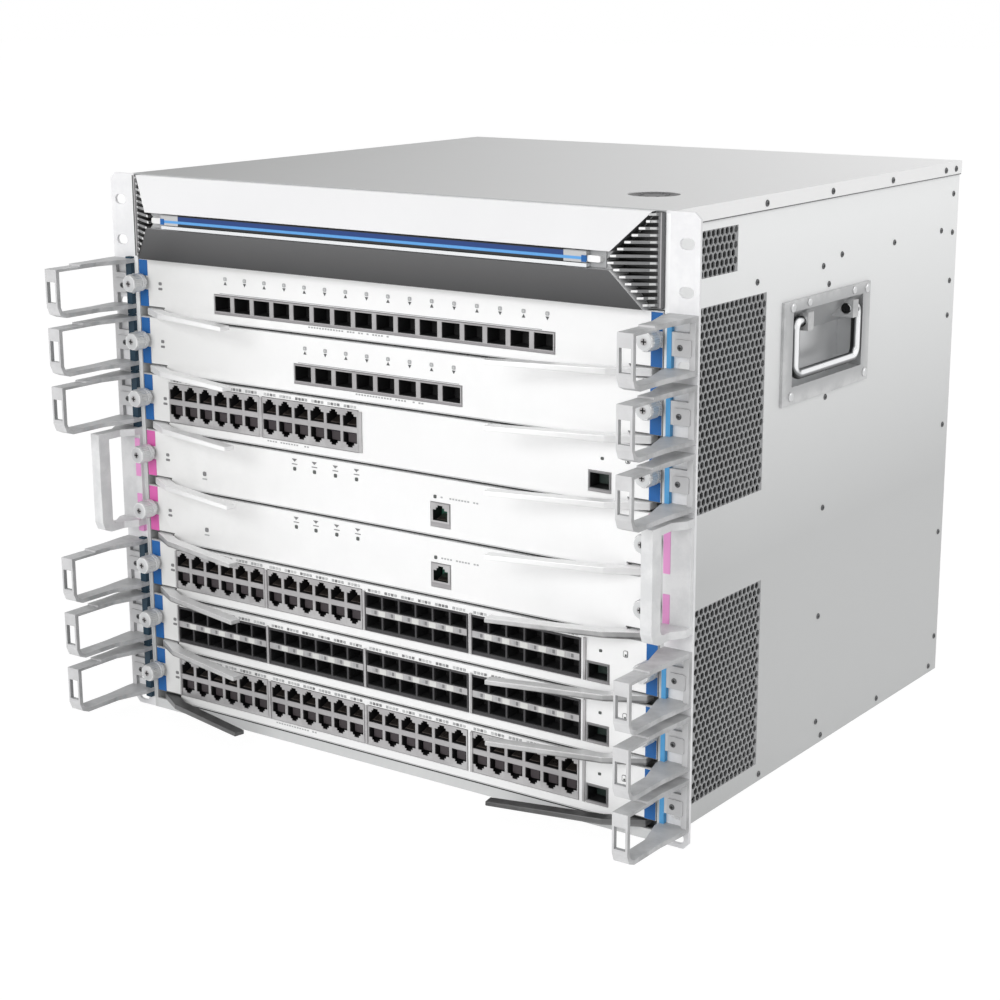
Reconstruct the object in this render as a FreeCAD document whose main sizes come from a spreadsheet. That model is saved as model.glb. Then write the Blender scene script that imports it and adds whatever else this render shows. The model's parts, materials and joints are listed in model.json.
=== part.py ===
import FreeCAD, Part
import math
import os
import re
import Sketcher

# A nine-unit modular chassis switch. Millimetres, X to the right, Y from front to rear, Z up.
# The origin is the middle of the chassis' bottom face. Eight card rows are stacked between the
# bottom lip and a header, and each row holds a card with two ejector levers. The right-hand half
# of every mirrored pair is modelled and the left-hand one is its mirror image.

SIZES = {
    # chassis
    "chassis_wide": 442,
    "header_high": 58.5,
    "chassis_deep": 415.6,
    "ear_wide": 20.3,
    "wall_thick": 3,
    "ear_thick": 2,
    "rack_hole_inset": 8.75,
    "rack_hole_radius": 3.4,
    "rack_hole_long": 10.3,
    "rack_hole_low": 6.35,
    "rack_hole_down": 18.6,
    "spare_hole_down": 47.1,
    "spare_hole_step": 44.5,
    "sheet_thick": 2,
    "cover_thick": 1.5,
    "lip_high": 9.4,
    "recess_across": 162,
    "recess_back": 78,
    "recess_radius": 17,
    "seat_gap": 0.3,
    # card rows
    "row_base": 7.5,
    "row_pitch": 41.3,
    "row_count": 8,
    "row_gap": 0.8,
    "panel_gap": 1,
    "panel_thick": 1.5,
    "flange_deep": 9,
    "notch_wide": 23,
    "board_inset": 2,
    "board_low": 5.6,
    "board_thick": 1.8,
    "midplane_at": 240,
    "midplane_thick": 4,
    "plug_half": 150,
    "plug_low": 12,
    "connector_wide": 60,
    "connector_deep": 4,
    "plug_top": 30,
    "plug_long": 20,
    "guide_stand": 18,
    "guide_near": 14,
    "guide_thick": 1.5,
    # ports
    "ports_inset": 2.3,
    "ports_end": 33.2,
    "port_rise": 14.2,
    "port_first": 9.6,
    "block_gap": 2.9,
    "jack_wall": 2.1,
    "jack_high": 10.8,
    "cage_wall": 1.1,
    "cage_high": 9.2,
    "port_deep": 14,
    "housing_deep": 22,
    "housing_sink": 0.5,
    # captive thumbscrews
    "screw_inset": 4,
    "screw_high": 24,
    "knob_radius": 6,
    "knob_long": 12,
    "knob_lift": 3,
    "neck_radius": 3.5,
    "shank_radius": 2,
    "shank_long": 17,
    # ejector levers
    "lever_gap": 2,
    "pivot_deep": 4,
    "lever_low": 0.5,
    "lever_thick": 5,
    "lever_roof": 0.7,
    "root_half": 7,
    "elbow_inset": 8,
    "elbow_out": 15,
    "tip_half": 109,
    "tip_out": 34,
    "arm_wide": 8,
    # bezel
    "corner_inset": 4.4,
    "bezel_corner_out": 5,
    "apex_inset": 31.4,
    "bezel_apex_out": 18.5,
    "foot_inset": 8,
    "bezel_foot_out": 9,
    "bezel_groove_low": 23.6,
    "bezel_groove_high": 34.6,
    "bezel_groove_deep": 5,
    "light_inset": 10.9,
    "slat_count": 14,
    "slat_thick": 1.8,
    # cable rings and guard loops
    "ring_low": 4.4,
    "ring_high": 35.5,
    "ring_out": 68.6,
    "ring_band": 3,
    "ring_corner": 8,
    "ring_stand": 7,
    "ring_wide": 11,
    "base_stand": 0.2,
    "base_wide": 19.8,
    "guard_out": 38,
    "guard_bar": 10,
    "guard_stand": 6,
    "guard_wide": 8,
    "guard_corner": 8,
    "guard_inset": 9.6,
    # lifting handles
    "dish_front": 141,
    "dish_long": 126,
    "dish_low": 255.5,
    "dish_high": 69,
    "dish_thick": 2,
    "dish_gap": 1,
    "dish_wall": 1.5,
    "rim_front": 13,
    "rim_rear": 11,
    "rim_low": 11.5,
    "rim_top": 7.5,
    "scoop_drop": 20,
    "bail_gap": 6,
    "bail_foot": 7,
    "bail_drop": 8,
    "bail_radius": 3.4,
    "lug_long": 8,
    "lug_root": 12,
    # vents in the side walls
    "vent_high": 26,
    "vent_step": 35.4,
    # rear modules
    "psu_high": 102,
    "psu_gap": 4,
    "shelf_gap": 7.7,
    "fan_high": 216,
    "fan_side": 14,
    "fan_deep": 90,
    "fan_post": 4,
    "fan_rim": 12,
    "fan_slots": 4,
    "fan_slot_step": 36,
    "rotor_long": 38,
    "hub_radius": 30,
}

# Values worked out from the sizes above.
DERIVED = {
    "chassis_half": "chassis_wide / 2",
    "front": "-chassis_deep / 2",
    "rear": "chassis_deep / 2",
    "inner_half": "chassis_half - wall_thick",
    "rack_wide": "chassis_wide + 2 * ear_wide",
    "rack_hole_half": "rack_wide / 2 - rack_hole_inset",
    "header_base": "row_base + row_count * row_pitch",
    "chassis_high": "header_base + header_high",
    "rack_hole_top": "chassis_high - rack_hole_down",
    "ear_hole_high": "chassis_high - spare_hole_down",
    "ear_hole_mid": "ear_hole_high - spare_hole_step",
    "cover_base": "chassis_high - cover_thick",
    "bay_base": "sheet_thick + seat_gap",
    # cards, between the side walls
    "panel_high": "row_pitch - row_gap",
    "panel_half": "inner_half - panel_gap",
    "notch_half": "panel_half - notch_wide",
    "notch_high": "lever_low + lever_thick + lever_roof",
    "board_half": "notch_half - board_inset",
    "board_top": "board_low + board_thick",
    "card_deep": "midplane_at - connector_deep",
    "guide_half": "inner_half - guide_stand",
    "screw_half": "panel_half - screw_inset",
    "pivot_half": "notch_half + root_half + lever_gap",
    "elbow_half": "notch_half - elbow_inset",
    "ports_left": "ports_inset - notch_half",
    "block_pitch": "(2 * notch_half - ports_end) / 4",
    "port_pitch": "(block_pitch - block_gap) / 6",
    "jack_wide": "port_pitch - jack_wall",
    "cage_wide": "port_pitch - cage_wall",
    # bezel
    "grille_half": "inner_half - panel_gap",
    "bezel_corner": "grille_half - corner_inset",
    "bezel_apex": "grille_half - apex_inset",
    "bezel_foot": "grille_half - foot_inset",
    "light_half": "bezel_apex - light_inset",
    "slat_pitch": "(header_high - 1) / slat_count",
    # rings and guards, on the ears
    "ring_inner": "chassis_half + ring_stand",
    "ring_outer": "ring_inner + ring_wide",
    "base_inner": "chassis_half + base_stand",
    "base_outer": "base_inner + base_wide",
    "guard_inner": "chassis_half + guard_stand",
    "guard_outer": "guard_inner + guard_wide",
    "guard_low": "row_base + (row_count - 5) * row_pitch + guard_inset",
    "guard_high": "2 * row_pitch - guard_inset",
    # lifting handles, clear of the slot guides
    "dish_deep": "wall_thick + guide_stand - guide_thick - dish_gap",
    "dish_rear": "dish_front + dish_long",
    "dish_top": "dish_low + dish_high",
    "pocket_front": "dish_front + rim_front",
    "pocket_rear": "dish_rear - rim_rear",
    "pocket_low": "dish_low + rim_low",
    "pocket_top": "dish_top - rim_top",
    "scoop_bend": "pocket_top - scoop_drop",
    "bail_front": "pocket_front + bail_gap",
    "bail_rear": "pocket_rear - bail_gap",
    "bail_low": "pocket_low + bail_foot",
    "bail_pivot": "pocket_top - bail_drop",
    # rear modules
    "fan_half": "inner_half - fan_side",
    "fan_low": "bay_base + psu_high + shelf_gap",
    "fan_apart": "(fan_half - fan_post) / 2",
    "fan_radius": "fan_apart - fan_rim",
    "psu_wide": "fan_half - psu_gap",
}

NAMES = set(SIZES) | set(DERIVED)
document = FreeCAD.newDocument("ChassisSwitch")
sheet = document.addObject("Spreadsheet::Sheet", "Dimensions")
nodes = []

for number, (alias, value) in enumerate(list(SIZES.items()) + list(DERIVED.items()), 1):
    cell = "B%d" % number
    sheet.set("A%d" % number, alias)
    sheet.set(cell, "=" + value if alias in DERIVED else str(value))
    sheet.setAlias(cell, alias)
document.recompute()


# ---- helpers: every position and size is text over the sheet's names ----

def bound(text):
    """Turn words such as row_pitch into references to the sheet."""
    return re.sub(r"[a-z]\w*", lambda found: "Dimensions." + found.group()
                  if found.group() in NAMES else found.group(), str(text))


def row_at(row, offset="0"):
    """Height above the base of a place in card row 1 (top) to 8 (bottom)."""
    return "row_base + (row_count - %d) * row_pitch + %s" % (row, offset)


def depth(offset):
    """Y of a place measured back from the chassis' front plane."""
    return "front + (%s)" % offset


def node(label, item):
    item.Label = label
    nodes.append(item)
    return item


def new_body(name):
    return document.addObject("PartDesign::Body", name)


def origin_part(body, role):
    return next(item for item in body.Origin.OriginFeatures if item.Role == role)


# The plane a sketch lies on, and which way its normal points along the third axis.
NORMALS = {"XY": 1, "XZ": -1, "YZ": 1}


def sketch_on(body, plane, level):
    drawing = body.newObject("Sketcher::SketchObject", body.Name + "_sketch")
    drawing.AttachmentSupport = [(origin_part(body, plane + "_Plane"), "")]
    drawing.MapMode = "FlatFace"
    sign = "" if NORMALS[plane] > 0 else "-1 * "
    drawing.setExpression(".AttachmentOffset.Base.z", bound("%s(%s)" % (sign, level)))
    return drawing


def hold_point(drawing, item, place, across, up):
    for kind, value in (("DistanceX", across), ("DistanceY", up)):
        rule = drawing.addConstraint(Sketcher.Constraint(kind, -1, 1, item, place, 1.0))
        drawing.setExpression("Constraints[%d]" % rule, bound(value))


def outline(drawing, points, closed=True):
    """Add a polygon whose corners are given as pairs of text."""
    count = len(points)
    lines = []
    for index in range(count if closed else count - 1):
        start = FreeCAD.Vector(10 * index, index * index, 0)
        end = FreeCAD.Vector(10 * (index + 1), (index + 1) ** 2, 0)
        lines.append(drawing.addGeometry(Part.LineSegment(start, end), False))
    for index, line in enumerate(lines):
        if index or closed:
            drawing.addConstraint(Sketcher.Constraint("Coincident", lines[index - 1], 2, line, 1))
        hold_point(drawing, line, 1, *points[index])
    if not closed:
        hold_point(drawing, lines[-1], 2, *points[-1])


def rectangle(drawing, across, up):
    outline(drawing, [(across[0], up[0]), (across[1], up[0]), (across[1], up[1]), (across[0], up[1])])


def circle(drawing, across, up, radius):
    item = drawing.addGeometry(Part.Circle(FreeCAD.Vector(), FreeCAD.Vector(0, 0, 1), 1.0), False)
    rule = drawing.addConstraint(Sketcher.Constraint("Radius", item, 1.0))
    drawing.setExpression("Constraints[%d]" % rule, bound(radius))
    hold_point(drawing, item, 3, across, up)


def many_sided(drawing, across, up, radius, sides):
    """Add a regular polygon round a centre: a knurled or coarsely rounded outline."""
    corners = []
    for number in range(sides):
        angle = math.tau * (number + 0.5) / sides
        corners.append(("%s + %.6f * (%s)" % (across, math.cos(angle), radius),
                        "%s + %.6f * (%s)" % (up, math.sin(angle), radius)))
    outline(drawing, corners)


def extrude(kind, body, plane, level, length, toward, draw):
    """Pad or pocket what draw() puts on the plane, along (+1) or against (-1) the axis."""
    drawing = sketch_on(body, plane, level)
    draw(drawing)
    feature = body.newObject("PartDesign::" + kind, body.Name + "_" + kind.lower())
    feature.Profile = drawing
    feature.setExpression("Length", bound(length))
    along = NORMALS[plane] == toward
    feature.Reversed = not along if kind == "Pad" else along
    return feature


def pad(body, plane, level, length, toward, draw):
    return extrude("Pad", body, plane, level, length, toward, draw)


def pocket(body, plane, level, length, toward, draw):
    return extrude("Pocket", body, plane, level, length, toward, draw)


def repeat(body, feature, axis, count, step):
    """Repeat a feature along an axis."""
    pattern = body.newObject("PartDesign::LinearPattern", body.Name + "_pattern")
    pattern.Originals = [feature]
    pattern.Direction = (origin_part(body, axis + "_Axis"), [""])
    pattern.Mode = "Spacing"
    pattern.setExpression("Offset", bound(step))
    pattern.setExpression("Occurrences", bound(count))
    body.Tip = pattern
    return pattern


def mirrored(label, source):
    item = document.addObject("Part::Mirroring", label)
    item.Source = source
    item.Normal = (1, 0, 0)
    return node(label, item)


# ---- chassis shell ----

def side_panel():
    """Side wall folded outwards at the front into the rack ear, with vents and a handle window."""
    body = new_body("right_side_panel")
    ear = [("inner_half", "front"), ("rack_wide / 2", "front"),
           ("rack_wide / 2", "front + ear_thick"), ("chassis_half", "front + ear_thick"),
           ("chassis_half", "rear"), ("inner_half", "rear")]
    pad(body, "XY", "0", "cover_base", 1, lambda s: outline(s, ear))
    pad(body, "XY", "cover_base - 1", "cover_thick + 1", 1, lambda s: rectangle(
        s, ("inner_half", "rack_wide / 2"), ("front", "front + ear_thick")))
    tall = "rack_hole_radius"
    wide = "rack_hole_long / 2"

    def middles(drawing):
        for height in ("rack_hole_low", "rack_hole_top"):
            rectangle(drawing, ("rack_hole_half - (%s) + (%s)" % (wide, tall),
                                "rack_hole_half + (%s) - (%s)" % (wide, tall)),
                      ("%s - %s" % (height, tall), "%s + %s" % (height, tall)))
    pocket(body, "XZ", "front - 1", "ear_thick + 2", 1, middles)

    def ends(drawing):
        for height in ("rack_hole_low", "rack_hole_top"):
            for way in (-1, 1):
                circle(drawing, "rack_hole_half + %d * (%s - %s)" % (way, wide, tall), height, tall)
    pocket(body, "XZ", "front - 1", "ear_thick + 2", 1, ends)

    def spare_slots(drawing):
        for height in ("ear_hole_mid", "ear_hole_high"):
            corners = []
            for way_x, way_z in ((-1, -1), (1, -1), (1, 1), (-1, 1)):
                blunt = ("rack_hole_half + %d * (%s)" % (way_x, wide),
                         "%s + %d * (%s - 2)" % (height, way_z, tall))
                flat = ("rack_hole_half + %d * (%s - 2)" % (way_x, wide),
                        "%s + %d * %s" % (height, way_z, tall))
                corners += [blunt, flat] if way_x == way_z else [flat, blunt]
            outline(drawing, corners)
    pocket(body, "XZ", "front - 1", "ear_thick + 2", 1, spare_slots)

    def corners(drawing):
        edge = "rack_wide / 2"
        for end, inward in (("0", "4"), ("chassis_high", "chassis_high - 4")):
            outline(drawing, [(edge + " - 4", end), (edge + " + 1", end), (edge + " + 1", inward),
                              (edge, inward)])
    pocket(body, "XZ", "front - 1", "ear_thick + 2", 1, corners)
    vents = ((34, 120, "204.5", 4), (37, 121, "13", 4), (34, 79, "352", 1))
    for near, far, low, count in vents:
        slot = pocket(body, "YZ", "inner_half - 1", "wall_thick + 2", 1, lambda s: rectangle(
            s, (depth(near), depth(far)), (low, "%s + vent_high" % low)))
        repeat(body, slot, "Z", str(count), "vent_step")
    pocket(body, "YZ", "inner_half - 1", "wall_thick + 2", 1, lambda s: rectangle(
        s, (depth("pocket_front - dish_wall - seat_gap"), depth("pocket_rear + dish_wall + seat_gap")),
        ("pocket_low - dish_wall - seat_gap", "pocket_top + dish_wall + seat_gap")))
    return node("right_side_panel", body)


def top_cover():
    """Cover folded down over both side walls, with a round recess in its top."""
    body = new_body("top_cover")
    lip = "chassis_half + cover_thick"
    low = "chassis_high - lip_high"
    profile = [("-(%s)" % lip, low), ("-chassis_half", low), ("-chassis_half", "cover_base"),
               ("chassis_half", "cover_base"), ("chassis_half", low), (lip, low),
               (lip, "chassis_high"), ("-(%s)" % lip, "chassis_high")]
    pad(body, "XZ", "front + ear_thick", "chassis_deep - ear_thick", 1, lambda s: outline(s, profile))
    pocket(body, "XY", "chassis_high - cover_thick / 2", "cover_thick", 1, lambda s: many_sided(
        s, "recess_across", depth("recess_back"), "recess_radius", 18))
    return node("top_cover", body)


def bottom_plate():
    """Floor folded up at the front into the lip below the lowest card."""
    body = new_body("bottom_plate")
    profile = [("front", "0"), ("rear - sheet_thick", "0"), ("rear - sheet_thick", "sheet_thick"),
               ("front + sheet_thick", "sheet_thick"), ("front + sheet_thick", "row_base - seat_gap"),
               ("front", "row_base - seat_gap")]
    pad(body, "YZ", "-inner_half", "2 * inner_half", 1, lambda s: outline(s, profile))
    return node("bottom_plate", body)


def front_header():
    """Wall behind the bezel, folded back into the shelf over the card rows."""
    body = new_body("front_header")
    profile = [("front", "header_base"), (depth("midplane_at + midplane_thick"), "header_base"),
               (depth("midplane_at + midplane_thick"), "header_base + sheet_thick"),
               ("front + sheet_thick", "header_base + sheet_thick"),
               ("front + sheet_thick", "chassis_high"), ("front", "chassis_high")]
    pad(body, "YZ", "-inner_half", "2 * inner_half", 1, lambda s: outline(s, profile))
    return node("front_header", body)


def rear_panel():
    """Rear wall with the module bays, folded forward into the shelf between them."""
    body = new_body("rear_panel")
    shelf = "fan_low - seat_gap"
    profile = [("rear - sheet_thick", "0"), ("rear", "0"), ("rear", "cover_base"),
               ("rear - sheet_thick", "cover_base"), ("rear - sheet_thick", shelf),
               (depth("midplane_at + midplane_thick"), shelf),
               (depth("midplane_at + midplane_thick"), shelf + " - sheet_thick"),
               ("rear - sheet_thick", shelf + " - sheet_thick")]
    pad(body, "YZ", "-inner_half", "2 * inner_half", 1, lambda s: outline(s, profile))

    def bays(drawing):
        rectangle(drawing, ("-fan_half - 1", "fan_half + 1"), ("fan_low - seat_gap", "fan_low + fan_high + 1"))
        for side in (-1, 1):
            middle = "%d * (psu_wide / 2 + psu_gap)" % side
            rectangle(drawing, (middle + " - psu_wide / 2 - 1", middle + " + psu_wide / 2 + 1"),
                      ("sheet_thick", "bay_base + psu_high + 1"))
    pocket(body, "XZ", "rear - sheet_thick - 1", "sheet_thick + 2", 1, bays)
    return node("rear_panel", body)


def midplane():
    """Circuit board across the chassis that every card and module plugs into."""
    body = new_body("midplane")
    pad(body, "XZ", depth("midplane_at"), "midplane_thick", 1, lambda s: rectangle(
        s, ("-guide_half - guide_thick", "guide_half + guide_thick"), ("sheet_thick", "header_base")))

    def connectors(drawing):
        for side in (-1, 1):
            rectangle(drawing, ("%d * plug_half" % side, "%d * (plug_half - connector_wide)" % side),
                      (row_at(8, "plug_low"), row_at(1, "plug_top")))
    pad(body, "XZ", depth("midplane_at - connector_deep"), "connector_deep", 1, connectors)
    return node("midplane", body)


def slot_guides():
    """Upright wall with a pair of rails for each card, flanged outwards at the front."""
    body = new_body("right_slot_guides")
    near = "guide_near"
    wall = [("guide_half", depth(near)), ("inner_half", depth(near)),
            ("inner_half", depth(near + " + guide_thick")),
            ("guide_half + guide_thick", depth(near + " + guide_thick")),
            ("guide_half + guide_thick", depth("midplane_at")), ("guide_half", depth("midplane_at"))]
    pad(body, "XY", "sheet_thick", "header_base - sheet_thick", 1, lambda s: outline(s, wall))
    window = pocket(body, "YZ", "guide_half - 1", "guide_thick + 2", 1, lambda s: rectangle(
        s, (depth("60"), depth("midplane_at - 60")), (row_at(8, "14"), row_at(8, "row_pitch + 4"))))
    repeat(body, window, "Z", "row_count / 2", "2 * row_pitch")
    pocket(body, "XZ", depth(near + " - 1"), "guide_thick + 2", 1, lambda s: rectangle(
        s, ("screw_half - shank_radius - 1", "screw_half + shank_radius + 1"),
        (row_at(8, "screw_high - 6"), row_at(1, "screw_high + 6"))))

    def rails(drawing):
        across = ("board_half - 2.5", "guide_half + 0.5")
        under = row_at(8, "board_low - seat_gap")
        over = row_at(8, "board_top + seat_gap")
        rectangle(drawing, across, (under + " - 1.6", under))
        rectangle(drawing, across, (over, over + " + 1.6"))
    rail = pad(body, "XZ", depth("housing_deep + 2"), "card_deep - housing_deep - 4", 1, rails)
    repeat(body, rail, "Z", "row_count", "row_pitch")
    return node("right_slot_guides", body)


# ---- cards ----

def port_rows(kind):
    """The groups of port openings of a card: left edge, base, pitch, rise, counts and opening."""
    def jacks(number):
        left = "ports_left + %d * block_pitch" % number
        return (left, "port_first", "port_pitch", "port_rise", 6, 2, "jack_wide", "jack_high")

    def cages(number):
        # the thin dividers between a row's six cages are left out, so the row is one opening
        left = "ports_left + %d * block_pitch" % number
        wide = "(5 * port_pitch + cage_wide)"
        return (left, "port_first", "port_pitch", "port_rise", 1, 2, wide, "cage_high")
    single = ("ports_left + 4 * block_pitch + 2.8", "9", "16", "14", 1, 1, "14.6", "10")
    layouts = {
        "wide_cages": [("-144.4", "8.9", "17.9", "14", 16, 1, "14.6", "10.6")],
        "few_cages": [("-72.8", "8.9", "17.9", "14", 8, 1, "14.6", "10.6")],
        "half_jacks": [jacks(0), jacks(1), single],
        "supervisor": [("42.6", "10.4", "16", "14", 1, 1, "14", "12")],
        "mixed": [jacks(0), jacks(1), cages(2), cages(3), single],
        "all_cages": [cages(number) for number in range(4)] + [single],
        "all_jacks": [jacks(number) for number in range(4)] + [single],
    }
    return layouts[kind]


CARDS = ("wide_cages", "few_cages", "half_jacks", "supervisor", "supervisor",
         "mixed", "all_cages", "all_jacks")


def housing_box(group, row, grow):
    """Front outline of the housing round a group of ports, widened by grow."""
    left, base, pitch, rise, across, up, wide, high = group
    margin = "1 + %s" % grow
    right = "%s + %d * %s + %s + %s" % (left, across - 1, pitch, wide, margin)
    top = "%s + %d * %s + %s + %s" % (base, up - 1, rise, high, margin)
    return (("%s - (%s)" % (left, margin), right),
            (row_at(row, "board_top - housing_sink - %s" % grow), row_at(row, top)))


def card_panel(row, kind):
    """Faceplate with folded flanges, port windows and two captive thumbscrews."""
    label = "slot%d_panel" % row
    body = new_body(label)
    top = row_at(row, "panel_high")
    face = [("-panel_half", row_at(row, "notch_high")), ("-notch_half", row_at(row, "notch_high")),
            ("-notch_half", row_at(row)), ("notch_half", row_at(row)),
            ("notch_half", row_at(row, "notch_high")),
            ("panel_half", row_at(row, "notch_high")),
            ("panel_half", top), ("-panel_half", top)]
    pad(body, "XZ", "front", "panel_thick", 1, lambda s: outline(s, face))

    def flanges(drawing):
        rectangle(drawing, ("-notch_half + 6", "notch_half - 6"), (row_at(row), row_at(row, "1.2")))
        rectangle(drawing, ("-notch_half", "notch_half"), (top + " - 1.2", top))
    pad(body, "XZ", depth("panel_thick - 0.5"), "flange_deep", 1, flanges)

    def pivot_plates(drawing):
        for side in (-1, 1):
            rectangle(drawing, ("%d * (notch_half + 1)" % side, "%d * (panel_half - 4)" % side),
                      (row_at(row, "notch_high"), row_at(row, "notch_high + 1.4")))
    pad(body, "XZ", depth("panel_thick - 0.5"), "flange_deep", 1, pivot_plates)

    def windows(drawing):
        for group in port_rows(kind):
            across, up = housing_box(group, row, "seat_gap")
            rectangle(drawing, across, up)
    pocket(body, "XZ", "front - 1", "panel_thick + 2", 1, windows)

    def screws(radius, sides):
        def draw(drawing):
            for side in (-1, 1):
                many_sided(drawing, "%d * screw_half" % side, row_at(row, "screw_high"), radius, sides)
        return draw
    pad(body, "XZ", "front + 0.5", "knob_lift + 1", -1, screws("neck_radius", 6))
    pad(body, "XZ", depth("-knob_lift"), "knob_long", -1, screws("knob_radius", 8))
    pad(body, "XZ", "front + 0.5", "shank_long - 0.5", 1, screws("shank_radius", 4))
    return node(label, body)


def card_board(row, kind):
    """Circuit board with the port housings along its front and plugs along its rear."""
    label = "slot%d_board" % row
    body = new_body(label)
    pad(body, "XY", row_at(row, "board_low"), "board_thick", 1, lambda s: rectangle(
        s, ("-board_half", "board_half"), (depth("panel_thick"), depth("card_deep - 12"))))

    def housings(drawing):
        for group in port_rows(kind):
            across, up = housing_box(group, row, "0")
            rectangle(drawing, across, up)
    pad(body, "XZ", "front", "housing_deep", 1, housings)

    def plugs(drawing):
        rectangle(drawing, ("-plug_half", "plug_half"),
                  (row_at(row, "board_top - housing_sink"), row_at(row, "plug_top")))
    pad(body, "XZ", depth("card_deep - plug_long"), "plug_long - seat_gap", 1, plugs)
    for group in port_rows(kind):
        left, base, pitch, rise, across, up, wide, high = group

        def column(drawing):
            for level in range(up):
                low = row_at(row, "%s + %d * %s" % (base, level, rise))
                rectangle(drawing, (left, "%s + %s" % (left, wide)), (low, "%s + %s" % (low, high)))
        port = pocket(body, "XZ", "front - 1", "port_deep + 1", 1, column)
        if across > 1:
            repeat(body, port, "X", str(across), pitch)
    return node(label, body)


def card_lever(row):
    """Ejector lever: a square root on its pivot, a bent arm and a blunt tip."""
    label = "slot%d_lever_right" % row
    body = new_body(label)
    back = depth("pivot_deep + root_half * 0.6")
    arm = [("pivot_half + root_half", back), ("pivot_half + root_half", depth("-0.5")),
           ("elbow_half", depth("-elbow_out")), ("tip_half", depth("-tip_out")),
           ("tip_half - 1.5", depth("-tip_out + arm_wide")),
           ("elbow_half - 3", depth("-elbow_out + arm_wide")),
           ("pivot_half - root_half", depth("0.4")), ("pivot_half - root_half", back)]
    pad(body, "XY", row_at(row, "lever_low"), "lever_thick", 1, lambda s: outline(s, arm))
    return node(label, body)


# ---- bezel ----

def bezel():
    """Moulded bezel: a ridge across the front with a groove along it and chevron ends."""
    body = new_body("front_bezel")
    base = "header_base + "
    groove_low = base + "bezel_groove_low"
    groove_high = base + "bezel_groove_high"
    inside = depth("-bezel_apex_out + bezel_groove_deep")
    profile = [("front", base + "0.2"), (depth("-bezel_foot_out"), base + "0.2"),
               (depth("-bezel_apex_out"), groove_low), (inside, groove_low), (inside, groove_high),
               (depth("-bezel_apex_out"), groove_high),
               (depth("-bezel_corner_out"), "chassis_high - 0.4"), ("front", "chassis_high - 0.4")]
    pad(body, "YZ", "-bezel_corner", "2 * bezel_corner", 1, lambda s: outline(s, profile))
    middle = "header_base + (bezel_groove_low + bezel_groove_high) / 2"

    def chevrons(drawing):
        for side in ("-1 * ", ""):
            outline(drawing, [(side + "bezel_corner", "chassis_high + 1"), (side + "bezel_apex", middle),
                              (side + "bezel_foot", "header_base - 1"),
                              (side + "(bezel_corner + 9)", "header_base - 1"),
                              (side + "(bezel_corner + 9)", "chassis_high + 1")])
    pocket(body, "XZ", depth("-bezel_apex_out - 5"), "bezel_apex_out + 10", 1, chevrons)
    return node("front_bezel", body)


def light_bar():
    """Strip of light that fills the upper part of the bezel's groove."""
    body = new_body("light_bar")
    groove = depth("-bezel_apex_out + bezel_groove_deep")
    pad(body, "XZ", groove, "bezel_groove_deep + 0.6", -1, lambda s: rectangle(
        s, ("-light_half", "light_half"),
        ("header_base + bezel_groove_low + 3.4", "header_base + bezel_groove_high - 0.6")))
    return node("light_bar", body)


def light_bar_trim():
    """Bright rule along the lower edge of the groove."""
    body = new_body("light_bar_trim")
    groove = depth("-bezel_apex_out + bezel_groove_deep")
    pad(body, "XZ", groove, "bezel_groove_deep + 0.3", -1, lambda s: rectangle(
        s, ("-light_half", "light_half"),
        ("header_base + bezel_groove_low + 0.6", "header_base + bezel_groove_low + 2.8")))
    return node("light_bar_trim", body)


def end_grille():
    """Stack of level slats between the bezel's chevron end and the chassis' edge."""
    body = new_body("right_end_grille")
    middle = "(bezel_groove_low + bezel_groove_high) / 2"
    pad(body, "XZ", "front", "1.5", -1, lambda s: outline(s, [
        ("bezel_corner + 0.3", "chassis_high - 0.6"), ("bezel_apex + 0.6", "header_base + " + middle),
        ("bezel_foot + 0.3", "header_base + 0.4"), ("grille_half", "header_base + 0.4"),
        ("grille_half", "chassis_high - 0.6")]))
    for number in range(int(SIZES["slat_count"])):
        rise = "((%d + 0.5) * slat_pitch)" % number
        below = "(%s / (%s))" % (rise, middle)
        above = "((header_high - %s - slat_thick) / (header_high - %s))" % (rise, middle)
        edge = ("max(bezel_foot + (bezel_apex - bezel_foot) * %s; bezel_corner"
                " + (bezel_apex - bezel_corner) * %s)" % (below, above))
        out = ("min(bezel_foot_out + (bezel_apex_out - bezel_foot_out) * %s; bezel_corner_out"
               " + (bezel_apex_out - bezel_corner_out) * %s)" % (below, above))
        slat = [(edge + " + 0.8", depth("0")), (edge + " + 0.8", depth("0.6 - (%s)" % out)),
                ("grille_half", depth("-1")), ("grille_half", depth("0"))]
        pad(body, "XY", "header_base + %s" % rise, "slat_thick", 1,
            lambda s, points=slat: outline(s, points))
    return node("right_end_grille", body)


# ---- cable rings, guard loops and handles on the sides ----

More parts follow.
